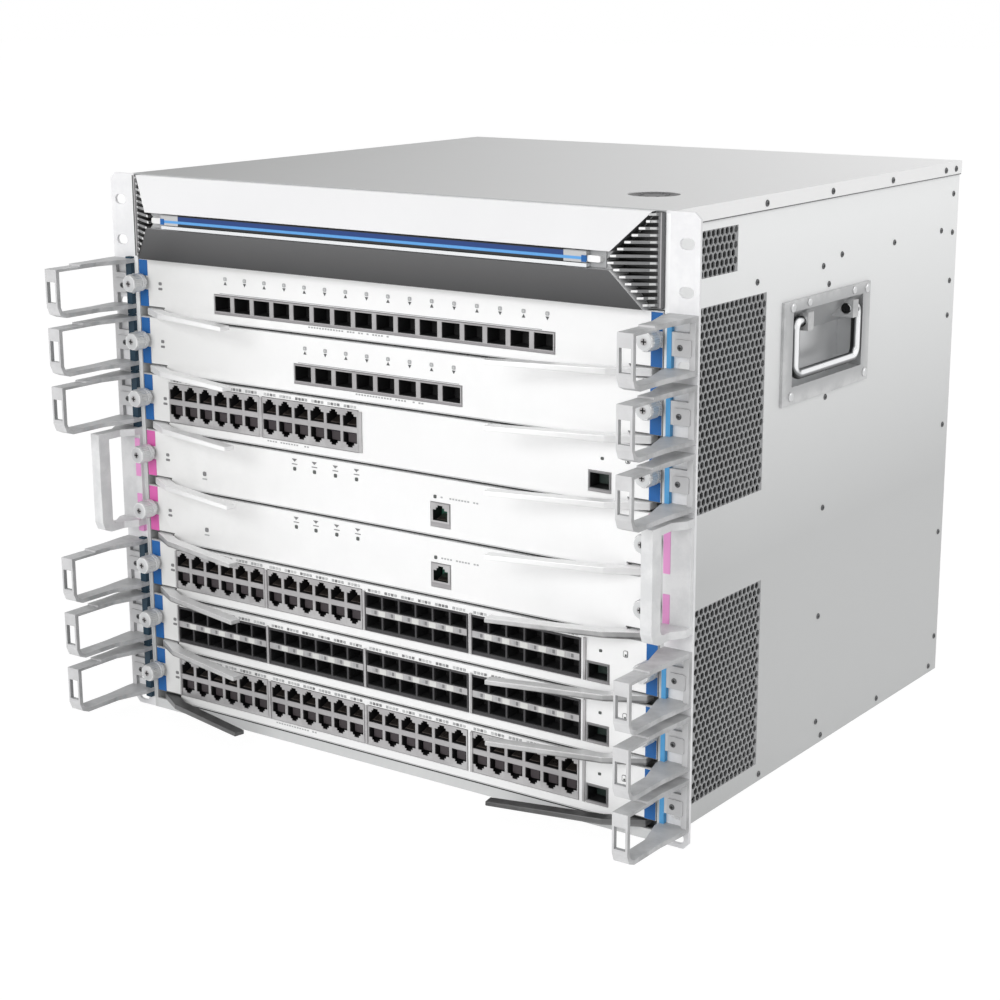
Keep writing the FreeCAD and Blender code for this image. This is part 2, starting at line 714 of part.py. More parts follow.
def side_loop(body, low, high, out, band, bar, inner, outer, corner, bar_corner):
    """Closed loop standing out from the ear: a base plate, two arms and a front bar."""
    top = "%s + %s" % (low, high)

    def rounded(reach, lowest, highest, radius, back):
        """Loop outline that is square at the back and rounded at its lower front corner."""
        points = [(back, lowest)]
        for step in range(3):
            turn = math.radians(45 * step)
            points.append((depth("-(%s) + (%s) * %.5f" % (reach, radius, 1 - math.sin(turn))),
                           "%s + (%s) * %.5f" % (lowest, radius, 1 - math.cos(turn))))
        return points + [(depth("-(%s)" % reach), highest), (back, highest)]

    def frame(drawing):
        outline(drawing, rounded(out, low, top, corner, "front"))
        outline(drawing, rounded("%s - %s" % (out, bar), "%s + %s" % (low, band),
                                 "%s - %s" % (top, band), "%s - %s" % (corner, bar_corner), "front - 3"))
    pad(body, "YZ", "base_inner", "base_outer - base_inner", 1, frame)

    def tapers(drawing):
        far = depth("-(%s) - 1" % out)
        narrow = depth("-(%s) * 0.45" % out)
        outline(drawing, [("base_inner - 1", "front - 8"), ("base_inner", "front - 8"),
                          (inner, narrow), (inner, far), ("base_inner - 1", far)])
        outline(drawing, [("base_outer + 1", "front - 8"), ("base_outer", "front - 8"),
                          (outer, narrow), (outer, far), ("base_outer + 1", far)])
    pocket(body, "XY", "%s - 1" % low, "%s + 2" % high, 1, tapers)


def cable_ring(row):
    """Moulded ring with a rounded front corner, a slot in its front and a snap-in top arm."""
    body = new_body("cable_ring_%d" % row)
    low = row_at(row, "ring_low")
    side_loop(body, low, "ring_high", "ring_out", "ring_band", "ring_band", "ring_inner", "ring_outer",
              "ring_corner", "ring_band")

    def openings(drawing):
        middle = "(ring_inner + ring_outer) / 2"
        rectangle(drawing, (middle + " - 4", middle + " + 4"), (low + " + 11", low + " + 25.5"))
    pocket(body, "XZ", depth("-ring_out - 1"), "ring_band + 2", 1, openings)

    def windows(drawing):
        across = ("base_inner - 1", "base_outer - 4")
        rectangle(drawing, across, (low + " + ring_band", low + " + 10.5"))
        rectangle(drawing, across, (low + " + 25", low + " + ring_high - ring_band"))
    pocket(body, "XZ", "front - 4", "5", 1, windows)
    pocket(body, "XZ", depth("-ring_out - 1"), "23.6", 1, lambda s: rectangle(
        s, ("base_inner - 1", "base_outer + 1"),
        (low + " + ring_high - 1.2", low + " + ring_high + 1")))
    return body


def cable_rings():
    """Six cable rings, one beside each card row that has ports."""
    rings = document.addObject("Part::Compound", "right_cable_rings")
    rings.Links = [cable_ring(row) for row in (1, 2, 3, 6, 7, 8)]
    return node("right_cable_rings", rings)


def guard_loop():
    """Guard beside the two supervisor rows."""
    body = new_body("right_guard_loop")
    side_loop(body, "guard_low", "guard_high", "guard_out", "5", "guard_bar",
              "guard_inner", "guard_outer", "guard_corner", "4")
    return node("right_guard_loop", body)


def handle_dish():
    """Plate on the side wall with a deep finger recess and two lugs for the bail."""
    body = new_body("right_handle_dish")
    pad(body, "YZ", "chassis_half", "dish_thick", 1, lambda s: rectangle(
        s, (depth("dish_front"), depth("dish_rear")), ("dish_low", "dish_top")))
    pad(body, "YZ", "chassis_half + 0.5", "dish_deep + 0.5", -1, lambda s: rectangle(
        s, (depth("pocket_front - dish_wall"), depth("pocket_rear + dish_wall")),
        ("pocket_low - dish_wall", "pocket_top + dish_wall")))
    face = "chassis_half + dish_thick"
    back = "chassis_half - dish_deep + dish_wall"
    scoop = [(face + " + 1", "pocket_low"), (back, "pocket_low"), (back, "scoop_bend"),
             (face, "pocket_top"), (face + " + 1", "pocket_top")]
    pocket(body, "XZ", depth("pocket_front"), "pocket_rear - pocket_front", 1,
           lambda s: outline(s, scoop))

    def lugs(drawing):
        near = "bail_front + 8"
        far = "bail_rear - 8"
        rectangle(drawing, (depth(near), depth(near + " + lug_long")), ("bail_pivot - 6", "bail_pivot + 6"))
        rectangle(drawing, (depth(far + " - lug_long"), depth(far)), ("bail_pivot - 6", "bail_pivot + 6"))
    pad(body, "YZ", "chassis_half - lug_root", "lug_root + bail_radius + 2", 1, lugs)
    pocket(body, "XZ", depth("bail_front + 7"), "bail_rear - bail_front - 14", 1, lambda s: many_sided(
        s, "chassis_half", "bail_pivot", "bail_radius + 2 * seat_gap", 8))
    return node("right_handle_dish", body)


def handle_bail():
    """Round steel bail: two turned-in ends, two legs and a grip bar."""
    body = new_body("right_handle_bail")
    route = sketch_on(body, "YZ", "chassis_half")
    near = depth("bail_front + 8 + lug_long")
    far = depth("bail_rear - 8 - lug_long")
    outline(route, [(near, "bail_pivot"), (depth("bail_front"), "bail_pivot"),
                    (depth("bail_front"), "bail_low"), (depth("bail_rear"), "bail_low"),
                    (depth("bail_rear"), "bail_pivot"), (far, "bail_pivot")], closed=False)
    section = sketch_on(body, "XZ", near)
    many_sided(section, "chassis_half", "bail_pivot", "bail_radius", 10)
    pipe = body.newObject("PartDesign::AdditivePipe", "bail_pipe")
    pipe.Profile = section
    pipe.Spine = (route, ["Edge%d" % number for number in range(1, 6)])
    pipe.Transition = "Right corner"
    return node("right_handle_bail", body)


# ---- rear modules ----

def fan_tray():
    """Slide-in tray with two round fan openings and a pull handle."""
    body = new_body("fan_tray")
    up = ("fan_low", "fan_low + fan_high")
    across = ("-fan_half", "fan_half")
    pad(body, "XZ", "rear - fan_deep", "fan_deep", 1, lambda s: rectangle(s, across, up))
    pad(body, "XZ", "rear + seat_gap", "1.5", 1, lambda s: rectangle(
        s, ("-fan_half - 6", "fan_half + 6"), ("fan_low - 2", "fan_low + fan_high + 5")))
    pad(body, "XZ", "rear - 1", "4", 1, lambda s: rectangle(s, ("-fan_half + 1", "fan_half - 1"), (
        "fan_low + 1", "fan_low + fan_high - 1")))
    middle = "fan_low + fan_high / 2"

    def tunnels(drawing):
        for side in (-1, 1):
            many_sided(drawing, "%d * fan_apart" % side, middle, "fan_radius", 14)
    pocket(body, "XZ", "rear - fan_deep - 1", "fan_deep - 9", 1, tunnels)

    def slots(drawing):
        for side in (-1, 1):
            rectangle(drawing, ("%d * fan_apart - 60" % side, "%d * fan_apart + 60" % side),
                      (middle + " - 62", middle + " - 46"))
    slot = pocket(body, "XZ", "rear - 15", "30", 1, slots)
    repeat(body, slot, "Z", "fan_slots", "fan_slot_step")
    pad(body, "XZ", "rear + 1", "22", 1, lambda s: rectangle(s, ("-4", "4"), (
        middle + " - 60", middle + " + 60")))
    pocket(body, "XZ", "rear + 3", "14", 1, lambda s: rectangle(s, ("-5", "5"), (
        middle + " - 52", middle + " + 52")))
    return node("fan_tray", body)


def fan_rotor(number, side):
    """Hub with seven straight blades."""
    label = "fan_rotor_%d" % number
    body = new_body(label)
    middle = "fan_low + fan_high / 2"
    centre = "%d * fan_apart" % side
    start = "rear - 17 - rotor_long"

    def hub(drawing):
        drawing.setExpression(".AttachmentOffset.Base.x", bound(centre))
        drawing.setExpression(".AttachmentOffset.Base.y", bound(middle))
        many_sided(drawing, "0", "0", "hub_radius", 10)
    core = pad(body, "XZ", start, "rotor_long + 7 - seat_gap", 1, hub)
    blade = pad(body, "XZ", start, "rotor_long", 1, lambda s: rectangle(
        s, (centre + " - 1.5", centre + " + 1.5"),
        (middle + " + hub_radius - 2", middle + " + fan_radius - 4")))
    turn = body.newObject("PartDesign::PolarPattern", label + "_blades")
    turn.Originals = [blade]
    turn.Axis = (core.Profile[0], ["N_Axis"])
    turn.Angle = 360
    turn.Occurrences = 7
    body.Tip = turn
    return node(label, body)


def power_module(number, side):
    """Closed supply with an inlet, a fan grille and a pull handle on its rear."""
    label = "power_module_%d" % number
    body = new_body(label)
    middle = "%d * (psu_wide / 2 + psu_gap)" % side
    near = depth("midplane_at + midplane_thick + seat_gap")
    long = "rear - (%s)" % near
    across = (middle + " - psu_wide / 2", middle + " + psu_wide / 2")
    pad(body, "XZ", near, long + " + 2", 1, lambda s: rectangle(
        s, across, ("bay_base", "bay_base + psu_high")))
    pocket(body, "XZ", "rear - 20", "30", 1, lambda s: rectangle(
        s, (middle + " + 55", middle + " + 83"), ("bay_base + 30", "bay_base + 52")))
    slot = pocket(body, "XZ", "rear - 6", "10", 1, lambda s: rectangle(
        s, (middle + " - 85", middle + " - 15"), ("bay_base + 18", "bay_base + 26")))
    repeat(body, slot, "Z", "4", "17")
    pad(body, "XZ", "rear + 1", "24", 1, lambda s: rectangle(
        s, (middle + " + 10", middle + " + 18"), ("bay_base + 12", "bay_base + psu_high - 14")))
    pocket(body, "XZ", "rear + 2", "15", 1, lambda s: rectangle(
        s, (middle + " + 9", middle + " + 19"), ("bay_base + 20", "bay_base + psu_high - 22")))
    return node(label, body)


# ---- assembly ----

side_panel()
slot_guides()
end_grille()
cable_rings()
guard_loop()
handle_dish()
handle_bail()
for piece in list(nodes):
    mirrored(piece.Label.replace("right", "left"), piece)
top_cover()
bottom_plate()
front_header()
rear_panel()
midplane()
bezel()
light_bar()
light_bar_trim()
for row, kind in enumerate(CARDS, 1):
    card_panel(row, kind)
    card_board(row, kind)
    mirrored("slot%d_lever_left" % row, card_lever(row))
fan_tray()
for number, side in ((1, -1), (2, 1)):
    fan_rotor(number, side)
    power_module(number, side)
document.recompute()

for item in document.Objects:
    if "Invalid" in item.State or "Error" in item.State:
        raise RuntimeError("%s does not compute: %s" % (item.Name, item.State))
for item in nodes:
    if item.Shape.isNull() or not item.Shape.isValid():
        raise RuntimeError("%s has no valid shape" % item.Label)

os.makedirs("parts", exist_ok=True)
for item in nodes:
    item.Shape.exportStep("parts/%s.step" % item.Label)
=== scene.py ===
import json
import math
import random
from collections import namedtuple

import bmesh
import bpy
from mathutils import Matrix, Vector
from mathutils.geometry import tessellate_polygon


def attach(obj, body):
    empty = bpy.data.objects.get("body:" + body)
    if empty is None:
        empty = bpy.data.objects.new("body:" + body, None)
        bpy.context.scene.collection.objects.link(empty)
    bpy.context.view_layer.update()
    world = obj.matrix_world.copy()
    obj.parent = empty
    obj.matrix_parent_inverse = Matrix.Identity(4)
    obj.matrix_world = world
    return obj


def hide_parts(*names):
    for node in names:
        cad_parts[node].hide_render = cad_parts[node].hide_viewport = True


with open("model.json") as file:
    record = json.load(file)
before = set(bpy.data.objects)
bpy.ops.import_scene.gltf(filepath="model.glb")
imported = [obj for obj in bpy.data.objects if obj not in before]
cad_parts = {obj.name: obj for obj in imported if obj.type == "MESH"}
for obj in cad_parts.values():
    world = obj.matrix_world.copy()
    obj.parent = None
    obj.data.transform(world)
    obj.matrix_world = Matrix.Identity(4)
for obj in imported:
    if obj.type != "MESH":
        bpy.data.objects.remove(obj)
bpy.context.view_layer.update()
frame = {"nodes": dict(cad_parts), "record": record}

MM = 0.001                                      # sizes here are in millimetres, the frame is in metres


def span(node, axis):
    """Lower and upper limit of a solid along an axis, in mm."""
    solid = frame["nodes"][node]
    places = [(solid.matrix_world @ Vector(corner))[axis] / MM for corner in solid.bound_box]
    return round(min(places), 1), round(max(places), 1)


WALL_IN, EAR = span("right_side_panel", 0)      # inside of a side wall, end of a rack ear
WALL = WALL_IN + 3                              # outside of a side wall
F, R = span("right_side_panel", 1)              # front and rear planes
TOP = span("right_side_panel", 2)[1]
COVER = span("rear_panel", 2)[1]                # underside of the top cover
HEADER = span("front_header", 2)[0]             # foot of the bezel
ROW_BASE = span("slot8_panel", 2)[0]            # foot of the lowest card
ROW_STEP = round(span("slot7_panel", 2)[0] - ROW_BASE, 1)
ROWS = range(1, 9)                              # from the top down
SUPERVISORS = (4, 5)                            # rows with the guard loops and pink fields
SIDES = (("right", 1), ("left", -1))


def base(row):
    return ROW_BASE + (8 - row) * ROW_STEP


# ------------------------ shader trees

def lin(rgb):
    return tuple(c / 12.92 if c <= 0.04045 else ((c + 0.055) / 1.055) ** 2.4
                 for c in (v / 255 for v in rgb)) + (1.0,)


class Tree:
    """Short hand for building the node tree of a material or of the world."""
    def __init__(self, owner):
        owner.use_nodes = True
        self.owner = owner
        self.nodes = owner.node_tree.nodes
        self.at = -1800

    def add(self, kind, **values):
        n = self.nodes.new(kind)
        n.location = (self.at, -300)
        self.at += 160
        for key, value in values.items():
            setattr(n, key, value)
        return n

    def link(self, a, b):
        self.owner.node_tree.links.new(a, b)

    def coords(self, scale):
        tc = self.add("ShaderNodeTexCoord")
        mp = self.add("ShaderNodeMapping")
        mp.inputs["Scale"].default_value = scale
        self.link(tc.outputs["Object"], mp.inputs["Vector"])
        return mp.outputs["Vector"]

    def noise(self, vector, scale, detail, rough=0.5):
        n = self.add("ShaderNodeTexNoise")
        n.inputs["Scale"].default_value = scale
        n.inputs["Detail"].default_value = detail
        n.inputs["Roughness"].default_value = rough
        self.link(vector, n.inputs["Vector"])
        return n.outputs["Fac"]

    def math(self, op, *values):
        n = self.add("ShaderNodeMath", operation=op)
        for socket, v in zip(n.inputs, values):
            if isinstance(v, (int, float)):
                socket.default_value = v
            else:
                self.link(v, socket)
        return n.outputs[0]

    def ranged(self, value, lo, hi, out_lo=0.0, out_hi=1.0):
        n = self.add("ShaderNodeMapRange")
        n.inputs["From Min"].default_value = lo
        n.inputs["From Max"].default_value = hi
        n.inputs["To Min"].default_value = out_lo
        n.inputs["To Max"].default_value = out_hi
        self.link(value, n.inputs["Value"])
        return n.outputs["Result"]

    def mix(self, fac, a, b):
        n = self.add("ShaderNodeMix", data_type="RGBA")
        self.link(fac, n.inputs["Factor"])
        for key, v in (("A", a), ("B", b)):
            sock = next(s for s in n.inputs if s.name == key and s.type == "RGBA")
            if isinstance(v, tuple):
                sock.default_value = v
            else:
                self.link(v, sock)
        return next(s for s in n.outputs if s.type == "RGBA")

    def wear(self):
        """1 on outside edges, 0 elsewhere."""
        g = self.add("ShaderNodeNewGeometry")
        return self.ranged(g.outputs["Pointiness"], 0.52, 0.60)

    def axis(self, which):
        tc = self.add("ShaderNodeTexCoord")
        sp = self.add("ShaderNodeSeparateXYZ")
        self.link(tc.outputs["Object"], sp.inputs[0])
        return sp.outputs[which]

    def normal(self):
        """The surface's normal as the object lies in the frame."""
        g = self.add("ShaderNodeNewGeometry")
        vt = self.add("ShaderNodeVectorTransform", vector_type="NORMAL",
                      convert_from="WORLD", convert_to="OBJECT")
        self.link(g.outputs["Normal"], vt.inputs[0])
        return vt.outputs[0]

    def normal_axis(self, which):
        sp = self.add("ShaderNodeSeparateXYZ")
        self.link(self.normal(), sp.inputs[0])
        return sp.outputs[which]

    def seen_directly(self):
        """1 for what the camera sees, also in gloss and through glass, 0 for what lights the object."""
        path = self.add("ShaderNodeLightPath")
        seen = self.math("MAXIMUM", path.outputs["Is Camera Ray"], path.outputs["Is Glossy Ray"])
        return self.math("MAXIMUM", seen, path.outputs["Is Transmission Ray"])

    def mix_shaders(self, fac, a, b, output):
        mixer = self.add("ShaderNodeMixShader")
        for source, socket in zip((fac, a.outputs[0], b.outputs[0]), mixer.inputs):
            self.link(source, socket)
        self.link(mixer.outputs[0], self.nodes[output].inputs["Surface"])


def surface(name, rgb, rough=0.4, metallic=0.0, grain=300.0, bump=0.05, vary=0.03,
            rough_vary=0.08, stretch=(1, 1, 1), wear_rgb=None, coat=0.0, paint=None):
    """A finished surface: colour that drifts a little, grain in the bump, uneven gloss, worn edges.
    paint(tree, colour) may return another colour socket, for fields of colour and for painted light and
    shade."""
    t = Tree(bpy.data.materials.new(name))
    b = t.nodes["Principled BSDF"]
    b.inputs["Metallic"].default_value = metallic
    b.inputs["Coat Weight"].default_value = coat
    vec = t.coords(stretch)
    big = t.noise(vec, 9.0, 2.0)
    fine = t.noise(vec, grain, 3.0, 0.6)
    mid = t.noise(vec, 60.0, 4.0, 0.6)
    colour = lin(rgb)
    dark = tuple(c * (1 - vary) for c in colour[:3]) + (1,)
    light = tuple(min(1.0, c * (1 + vary)) for c in colour[:3]) + (1,)
    col = t.mix(t.ranged(big, 0.35, 0.65), dark, light)
    col = t.mix(t.math("MULTIPLY", mid, vary * 1.2), col, dark)
    if paint:
        col = paint(t, col)
    if wear_rgb:
        scratch = t.math("MULTIPLY", t.wear(), t.ranged(mid, 0.4, 0.6, 0.3, 1.0))
        col = t.mix(t.math("MULTIPLY", scratch, 0.5), col, lin(wear_rgb))
    t.link(col, b.inputs["Base Color"])
    t.link(t.ranged(mid, 0.3, 0.7, rough - rough_vary / 2, rough + rough_vary / 2), b.inputs["Roughness"])
    bp = t.add("ShaderNodeBump")
    bp.inputs["Strength"].default_value = bump
    bp.inputs["Distance"].default_value = 0.0004
    t.link(fine, bp.inputs["Height"])
    t.link(bp.outputs["Normal"], b.inputs["Normal"])
    return t.owner


def step(t, value, at, soft=0.2):
    """1 where value, in metres, is above at, in mm."""
    return t.ranged(value, (at - soft) * MM, (at + soft) * MM)


def ramp(t, value, lo, hi):
    """From 0 to 1 while value, in metres, goes from lo to hi, in mm."""
    return t.ranged(value, lo * MM, hi * MM)


def across(t):
    """Distance from the middle plane."""
    return t.math("ABSOLUTE", t.axis(0))


# ------------------------ fields of colour, and painted light and shade

GROOVE = (361.4, 372.6)         # foot and top of the bezel's groove for the light bar


def paint_bezel(t, col):
    """The lower panel of the bezel, which faces down, carries painted shade: dark grey and darker to its
    foot.
    The groove is near black, and light grey towards its ends."""
    down = t.ranged(t.normal_axis(2), -0.02, -0.25)
    z = t.axis(2)
    # painted shade of the down-facing lower panel, darker towards its foot
    grey = t.mix(ramp(t, z, HEADER, 361.5), lin((54, 54, 55)), lin((88, 88, 89)))
    groove = t.math("MULTIPLY", step(t, z, GROOVE[0]), t.math("SUBTRACT", 1.0, step(t, z, GROOVE[1])))
    inside = t.math("MULTIPLY", groove, step(t, t.axis(1), F - 18.4))
    outer = step(t, across(t), 160)
    col = t.mix(down, col, grey)
    return t.mix(inside, col, t.mix(outer, lin((16, 17, 20)), lin((176, 177, 178))))


def paint_light(t, col):
    """Dark blue band over a light blue band, in black edges; only the light blue goes on to the ends."""
    z = t.axis(2)
    outer = step(t, across(t), 158.5)
    low = t.mix(outer, lin((14, 15, 18)), lin((186, 187, 188)))
    high = t.mix(outer, lin((4, 52, 116)), lin((186, 187, 188)))
    edge = t.mix(outer, lin((14, 15, 18)), lin((150, 151, 152)))
    col = t.mix(step(t, z, 366.5), low, lin((88, 156, 218)))
    col = t.mix(step(t, z, 368.3), col, high)
    return t.mix(step(t, z, 371.3), col, edge)


def paint_body(t, col):
    """The side walls catch more light towards their top."""
    return t.mix(ramp(t, t.axis(2), 160, 370), lin((197, 198, 198)), lin((246, 247, 247)))


def paint_panel(t, col):
    """The faceplates carry painted shade, greying a little towards their left end."""
    # painted shade: grey ramp towards the faceplates' left end
    return t.mix(ramp(t, t.axis(0), -60, -200), col, lin((221, 221, 220)))


def paint_cover(t, col):
    """The cover's top carries painted shade, greying towards its far left; its lips carry painted light and
    are bright.
    """
    along = t.math("ADD", t.math("MULTIPLY", t.axis(0), 0.813), t.math("MULTIPLY", t.axis(1), 0.582))
    # painted shade ramp over the top towards its far left
    top = t.mix(ramp(t, along, -300, 300), lin((138, 139, 139)), lin((252, 252, 252)))
    # painted light on the side lips
    return t.mix(t.ranged(t.math("ABSOLUTE", t.normal_axis(0)), 0.4, 0.7), top, lin((247, 247, 247)))


def paint_ring(t, col):
    """The front plates are light; the arms and the base behind them carry painted shade and are darker, most
    on their upright faces.
    """
    front = t.ranged(t.normal_axis(1), -0.35, -0.8)
    level = t.ranged(t.math("ABSOLUTE", t.normal_axis(2)), 0.5, 0.9)
    # painted shade: upright faces darker than level ones
    behind = t.mix(level, lin((148, 149, 150)), lin((170, 171, 172)))
    return t.mix(front, behind, col)


def paint_dish(t, col):
    """The floor of the recess carries painted light and is lighter than its rim, and the lugs' outer faces
    are darker.
    """
    proud = t.math("MULTIPLY", step(t, across(t), 224.2),
                   t.ranged(t.math("ABSOLUTE", t.normal_axis(0)), 0.5, 0.8))
    deep = ramp(t, across(t), 221.5, 204)
    # painted light on the recess floor, against the shade of the recess
    col = t.mix(deep, col, lin((216, 217, 218)))
    return t.mix(proud, col, lin((162, 163, 164)))


def paint_bail(t, col):
    """Polished bar with a painted reflection: a painted highlight along its outer face, near black towards
    its edges.
    """
    dot = t.add("ShaderNodeVectorMath", operation="DOT_PRODUCT")
    # fixed direction of the painted reflection and highlight
    dot.inputs[1].default_value = (0.80, -0.45, 0.40)
    t.link(t.normal(), dot.inputs[0])
    facing = t.math("ABSOLUTE", dot.outputs["Value"])
    col = t.mix(t.ranged(facing, 0.56, 0.70), lin((16, 17, 18)), lin((122, 124, 126)))
    return t.mix(t.ranged(facing, 0.76, 0.85), col, lin((252, 253, 254)))


def paint_lever(tip, root, foot, top):
    """Painted light and shade of a lever, as grey levels: the front face from tip to root, a painted shadow
    line at the foot of that face, and the top face.
    """
    def paint(t, col):
        high = t.math("MODULO", t.math("SUBTRACT", t.axis(2), ROW_BASE * MM), ROW_STEP * MM)
        # painted shade along the front face, from tip to root
        front = t.mix(ramp(t, across(t), 120, 192), lin((tip,) * 3), lin((root,) * 3))
        # painted shadow line at the foot of the front face
        front = t.mix(ramp(t, high, 2.8, 2.0), front, lin((foot,) * 3))
        # painted light and shade on the top face
        return t.mix(t.ranged(t.normal_axis(2), 0.45, 0.75), front, lin((top,) * 3))
    return paint


def paint_grille(t, col):
    """Grey slat edges; the back plate and the slats' upper and lower faces carry painted shade and are near
    black.
    """
    dark = lin((20, 20, 21))
    # painted shade on the back plate behind the slats
    col = t.mix(step(t, t.axis(1), F - 1.9, 0.1), col, dark)
    # painted shade on the slats' upper and lower faces
    level = t.ranged(t.math("ABSOLUTE", t.normal_axis(2)), 0.6, 0.9)
    return t.mix(level, col, dark)


# ------------------------ materials

LOOKS = {
    "body_paint": surface("body_paint_look", (220, 221, 221), rough=0.42, metallic=0.05, grain=900,
        vary=0.02, rough_vary=0.015, paint=paint_body),
    "cover_paint": surface("cover_paint_look", (222, 223, 223), rough=0.42, metallic=0.05, grain=900,
        vary=0.02, rough_vary=0.015, paint=paint_cover),
    "lip_paint": surface("lip_paint_look", (204, 205, 205), rough=0.42, metallic=0.05, grain=900,
        vary=0.02, rough_vary=0.015),
    "inner_steel": surface("inner_steel_look", (178, 180, 181), rough=0.38, metallic=0.5, bump=0.06,
        vary=0.04, rough_vary=0.02, stretch=(1, 8, 1)),
    "circuit_board": surface("circuit_board_look", (26, 74, 48), rough=0.5, grain=400, bump=0.15,
        vary=0.2),
    "bezel_plastic": surface("bezel_look", (234, 234, 235), rough=0.38, grain=700, bump=0.03,
        vary=0.015, paint=paint_bezel),
    "light_blue": surface("light_blue_look", (40, 100, 190), rough=0.5, grain=200, bump=0.01,
        paint=paint_light),
    "bright_trim": surface("bright_trim_look", (232, 234, 236), rough=0.12, metallic=0.9, bump=0.01,
        stretch=(0.1, 1, 1)),
    "grille_metal": surface("grille_look", (112, 113, 114), metallic=0.3, bump=0.03, vary=0.05,
        wear_rgb=(170, 170, 170), paint=paint_grille),
    "ring_plastic": surface("ring_look", (193, 193, 194), rough=0.45, grain=650, bump=0.08,
        wear_rgb=(226, 226, 227), paint=paint_ring),
    "ring_pad": surface("ring_pad_look", (190, 190, 191), rough=0.45, grain=650, bump=0.08),
    "guard_plastic": surface("guard_look", (207, 208, 209), rough=0.42, grain=650, bump=0.06, vary=0.02,
        wear_rgb=(242, 242, 242)),
    "dish_steel": surface("dish_look", (174, 175, 176), rough=0.34, metallic=0.45, grain=500,
        wear_rgb=(225, 225, 225), paint=paint_dish),
    "bail_chrome": surface("bail_look", (190, 192, 194), rough=0.3, metallic=0.35, grain=200, bump=0.02,
        vary=0.05, paint=paint_bail),
    "rotor_plastic": surface("rotor_look", (24, 24, 25), rough=0.5, vary=0.1),
    "panel_steel": surface("panel_look", (240, 240, 240), metallic=0.05, grain=900, bump=0.03,
        vary=0.012, wear_rgb=(250, 250, 250), paint=paint_panel),
    "port_housing": surface("housing_look", (150, 147, 149), metallic=0.4, grain=400, vary=0.06,
        wear_rgb=(190, 190, 190)),
    "lever_steel": surface("lever_look", (208, 209, 210), rough=0.36, metallic=0.1, bump=0.02,
        vary=0.015, wear_rgb=(244, 244, 244), paint=paint_lever(247, 212, 216, 249)),
    # lever_grey and lever_dark: copies of the lever material with painted shade, for the lower rows
    "lever_grey": surface("lever_grey_look", (190, 191, 192), rough=0.36, metallic=0.15, bump=0.02,
        vary=0.015, wear_rgb=(236, 236, 236), paint=paint_lever(176, 138, 56, 240)),
    "lever_dark": surface("lever_dark_look", (110, 111, 112), metallic=0.1, bump=0.02,
        wear_rgb=(120, 120, 120), paint=paint_lever(62, 96, 108, 52)),
    "white_ear": surface("ear_look", (226, 226, 228), rough=0.42, metallic=0.05, grain=900, bump=0.04,
        vary=0.015, wear_rgb=(248, 248, 248)),
    "dark": surface("dark_look", (12, 12, 13), rough=0.7, bump=0.1, vary=0.2),
    "black_frame": surface("black_frame_look", (30, 30, 31), rough=0.45, bump=0.08, vary=0.1),
    "contact": surface("contact_look", (128, 118, 112), rough=0.3, metallic=0.8, bump=0.03, vary=0.15),
    # dark_contact: the contact material with painted shade
    "dark_contact": surface("contact_painted_shade_look", (92, 84, 94), rough=0.35, metallic=0.6, bump=0.03,
        vary=0.15),
    "strip_blue": surface("strip_blue_look", (8, 90, 158), rough=0.6, grain=500, vary=0.04),
    "strip_light": surface("strip_light_look", (80, 158, 212), rough=0.6, grain=500, vary=0.04),
    "strip_pink": surface("strip_pink_look", (206, 92, 164), grain=500, vary=0.04),
    "strip_pale": surface("strip_pale_look", (226, 150, 204), grain=500, vary=0.04),
    # strip_teal: the light blue ear strip in painted shadow
    "strip_teal": surface("strip_light_painted_shadow_look", (16, 50, 68), rough=0.6, grain=500, vary=0.04),
    "chrome": surface("screw_look", (204, 205, 206), rough=0.34, metallic=0.5, bump=0.03, vary=0.08,
        wear_rgb=(252, 252, 252)),
    "screw_dark": surface("screw_dark_look", (96, 97, 98), rough=0.35, metallic=0.7, vary=0.1),
    "mark": surface("mark_look", (120, 120, 121), rough=0.5, bump=0.03, vary=0.05),
    "mark_pale": surface("mark_pale_look", (170, 171, 172), rough=0.5, bump=0.03, vary=0.05),
    "lamp": surface("lamp_look", (70, 74, 72), rough=0.25, grain=200, bump=0.01, vary=0.1, coat=0.5),
    "dark_green": surface("dark_green_look", (20, 36, 31), bump=0.03, vary=0.1),
    "green": surface("green_look", (58, 110, 92), bump=0.03, vary=0.1),
    "separator": surface("separator_look", (168, 166, 167), rough=0.35, metallic=0.5, bump=0.04,
        vary=0.06, wear_rgb=(205, 205, 205)),
    "cage_frame": surface("cage_frame_look", (62, 61, 63), metallic=0.3, bump=0.04, vary=0.08),
    "light_field": surface("light_field_look", (212, 212, 209), metallic=0.2, bump=0.03),
    "tongue": surface("tongue_look", (56, 49, 52), rough=0.45, metallic=0.2, vary=0.15),
    "seam_pale": surface("seam_pale_look", (196, 197, 197), metallic=0.2, bump=0.03),
    "perforated": surface("perforated_look", (150, 151, 152), rough=0.42, metallic=0.2, grain=500,
        vary=0.05),
}

# ------------------------ outlines

def rect(x0, x1, y0, y1):
    return [(x0, y0), (x1, y0), (x1, y1), (x0, y1)]


def arc(cx, cy, radius, start, turn, steps):
    """Points on an arc from an angle, in degrees, through a turn."""
    angles = [math.radians(start + turn * i / steps) for i in range(steps + 1)]
    return [(cx + radius * math.cos(a), cy + radius * math.sin(a)) for a in angles]


def stadium(cx, cy, half, radius):
    """Slot with round ends, length along the first coordinate."""
    reach = half - radius
    return arc(cx + reach, cy, radius, -90, 180, 6) + arc(cx - reach, cy, radius, 90, 180, 6)


def rounded(x0, x1, y0, y1, r, steps=4):
    corners = ((x1 - r, y0 + r, -90), (x1 - r, y1 - r, 0), (x0 + r, y1 - r, 90), (x0 + r, y0 + r, 180))
    return [p for cx, cy, start in corners for p in arc(cx, cy, r, start, 90, steps)]


# ------------------------ mesh helpers

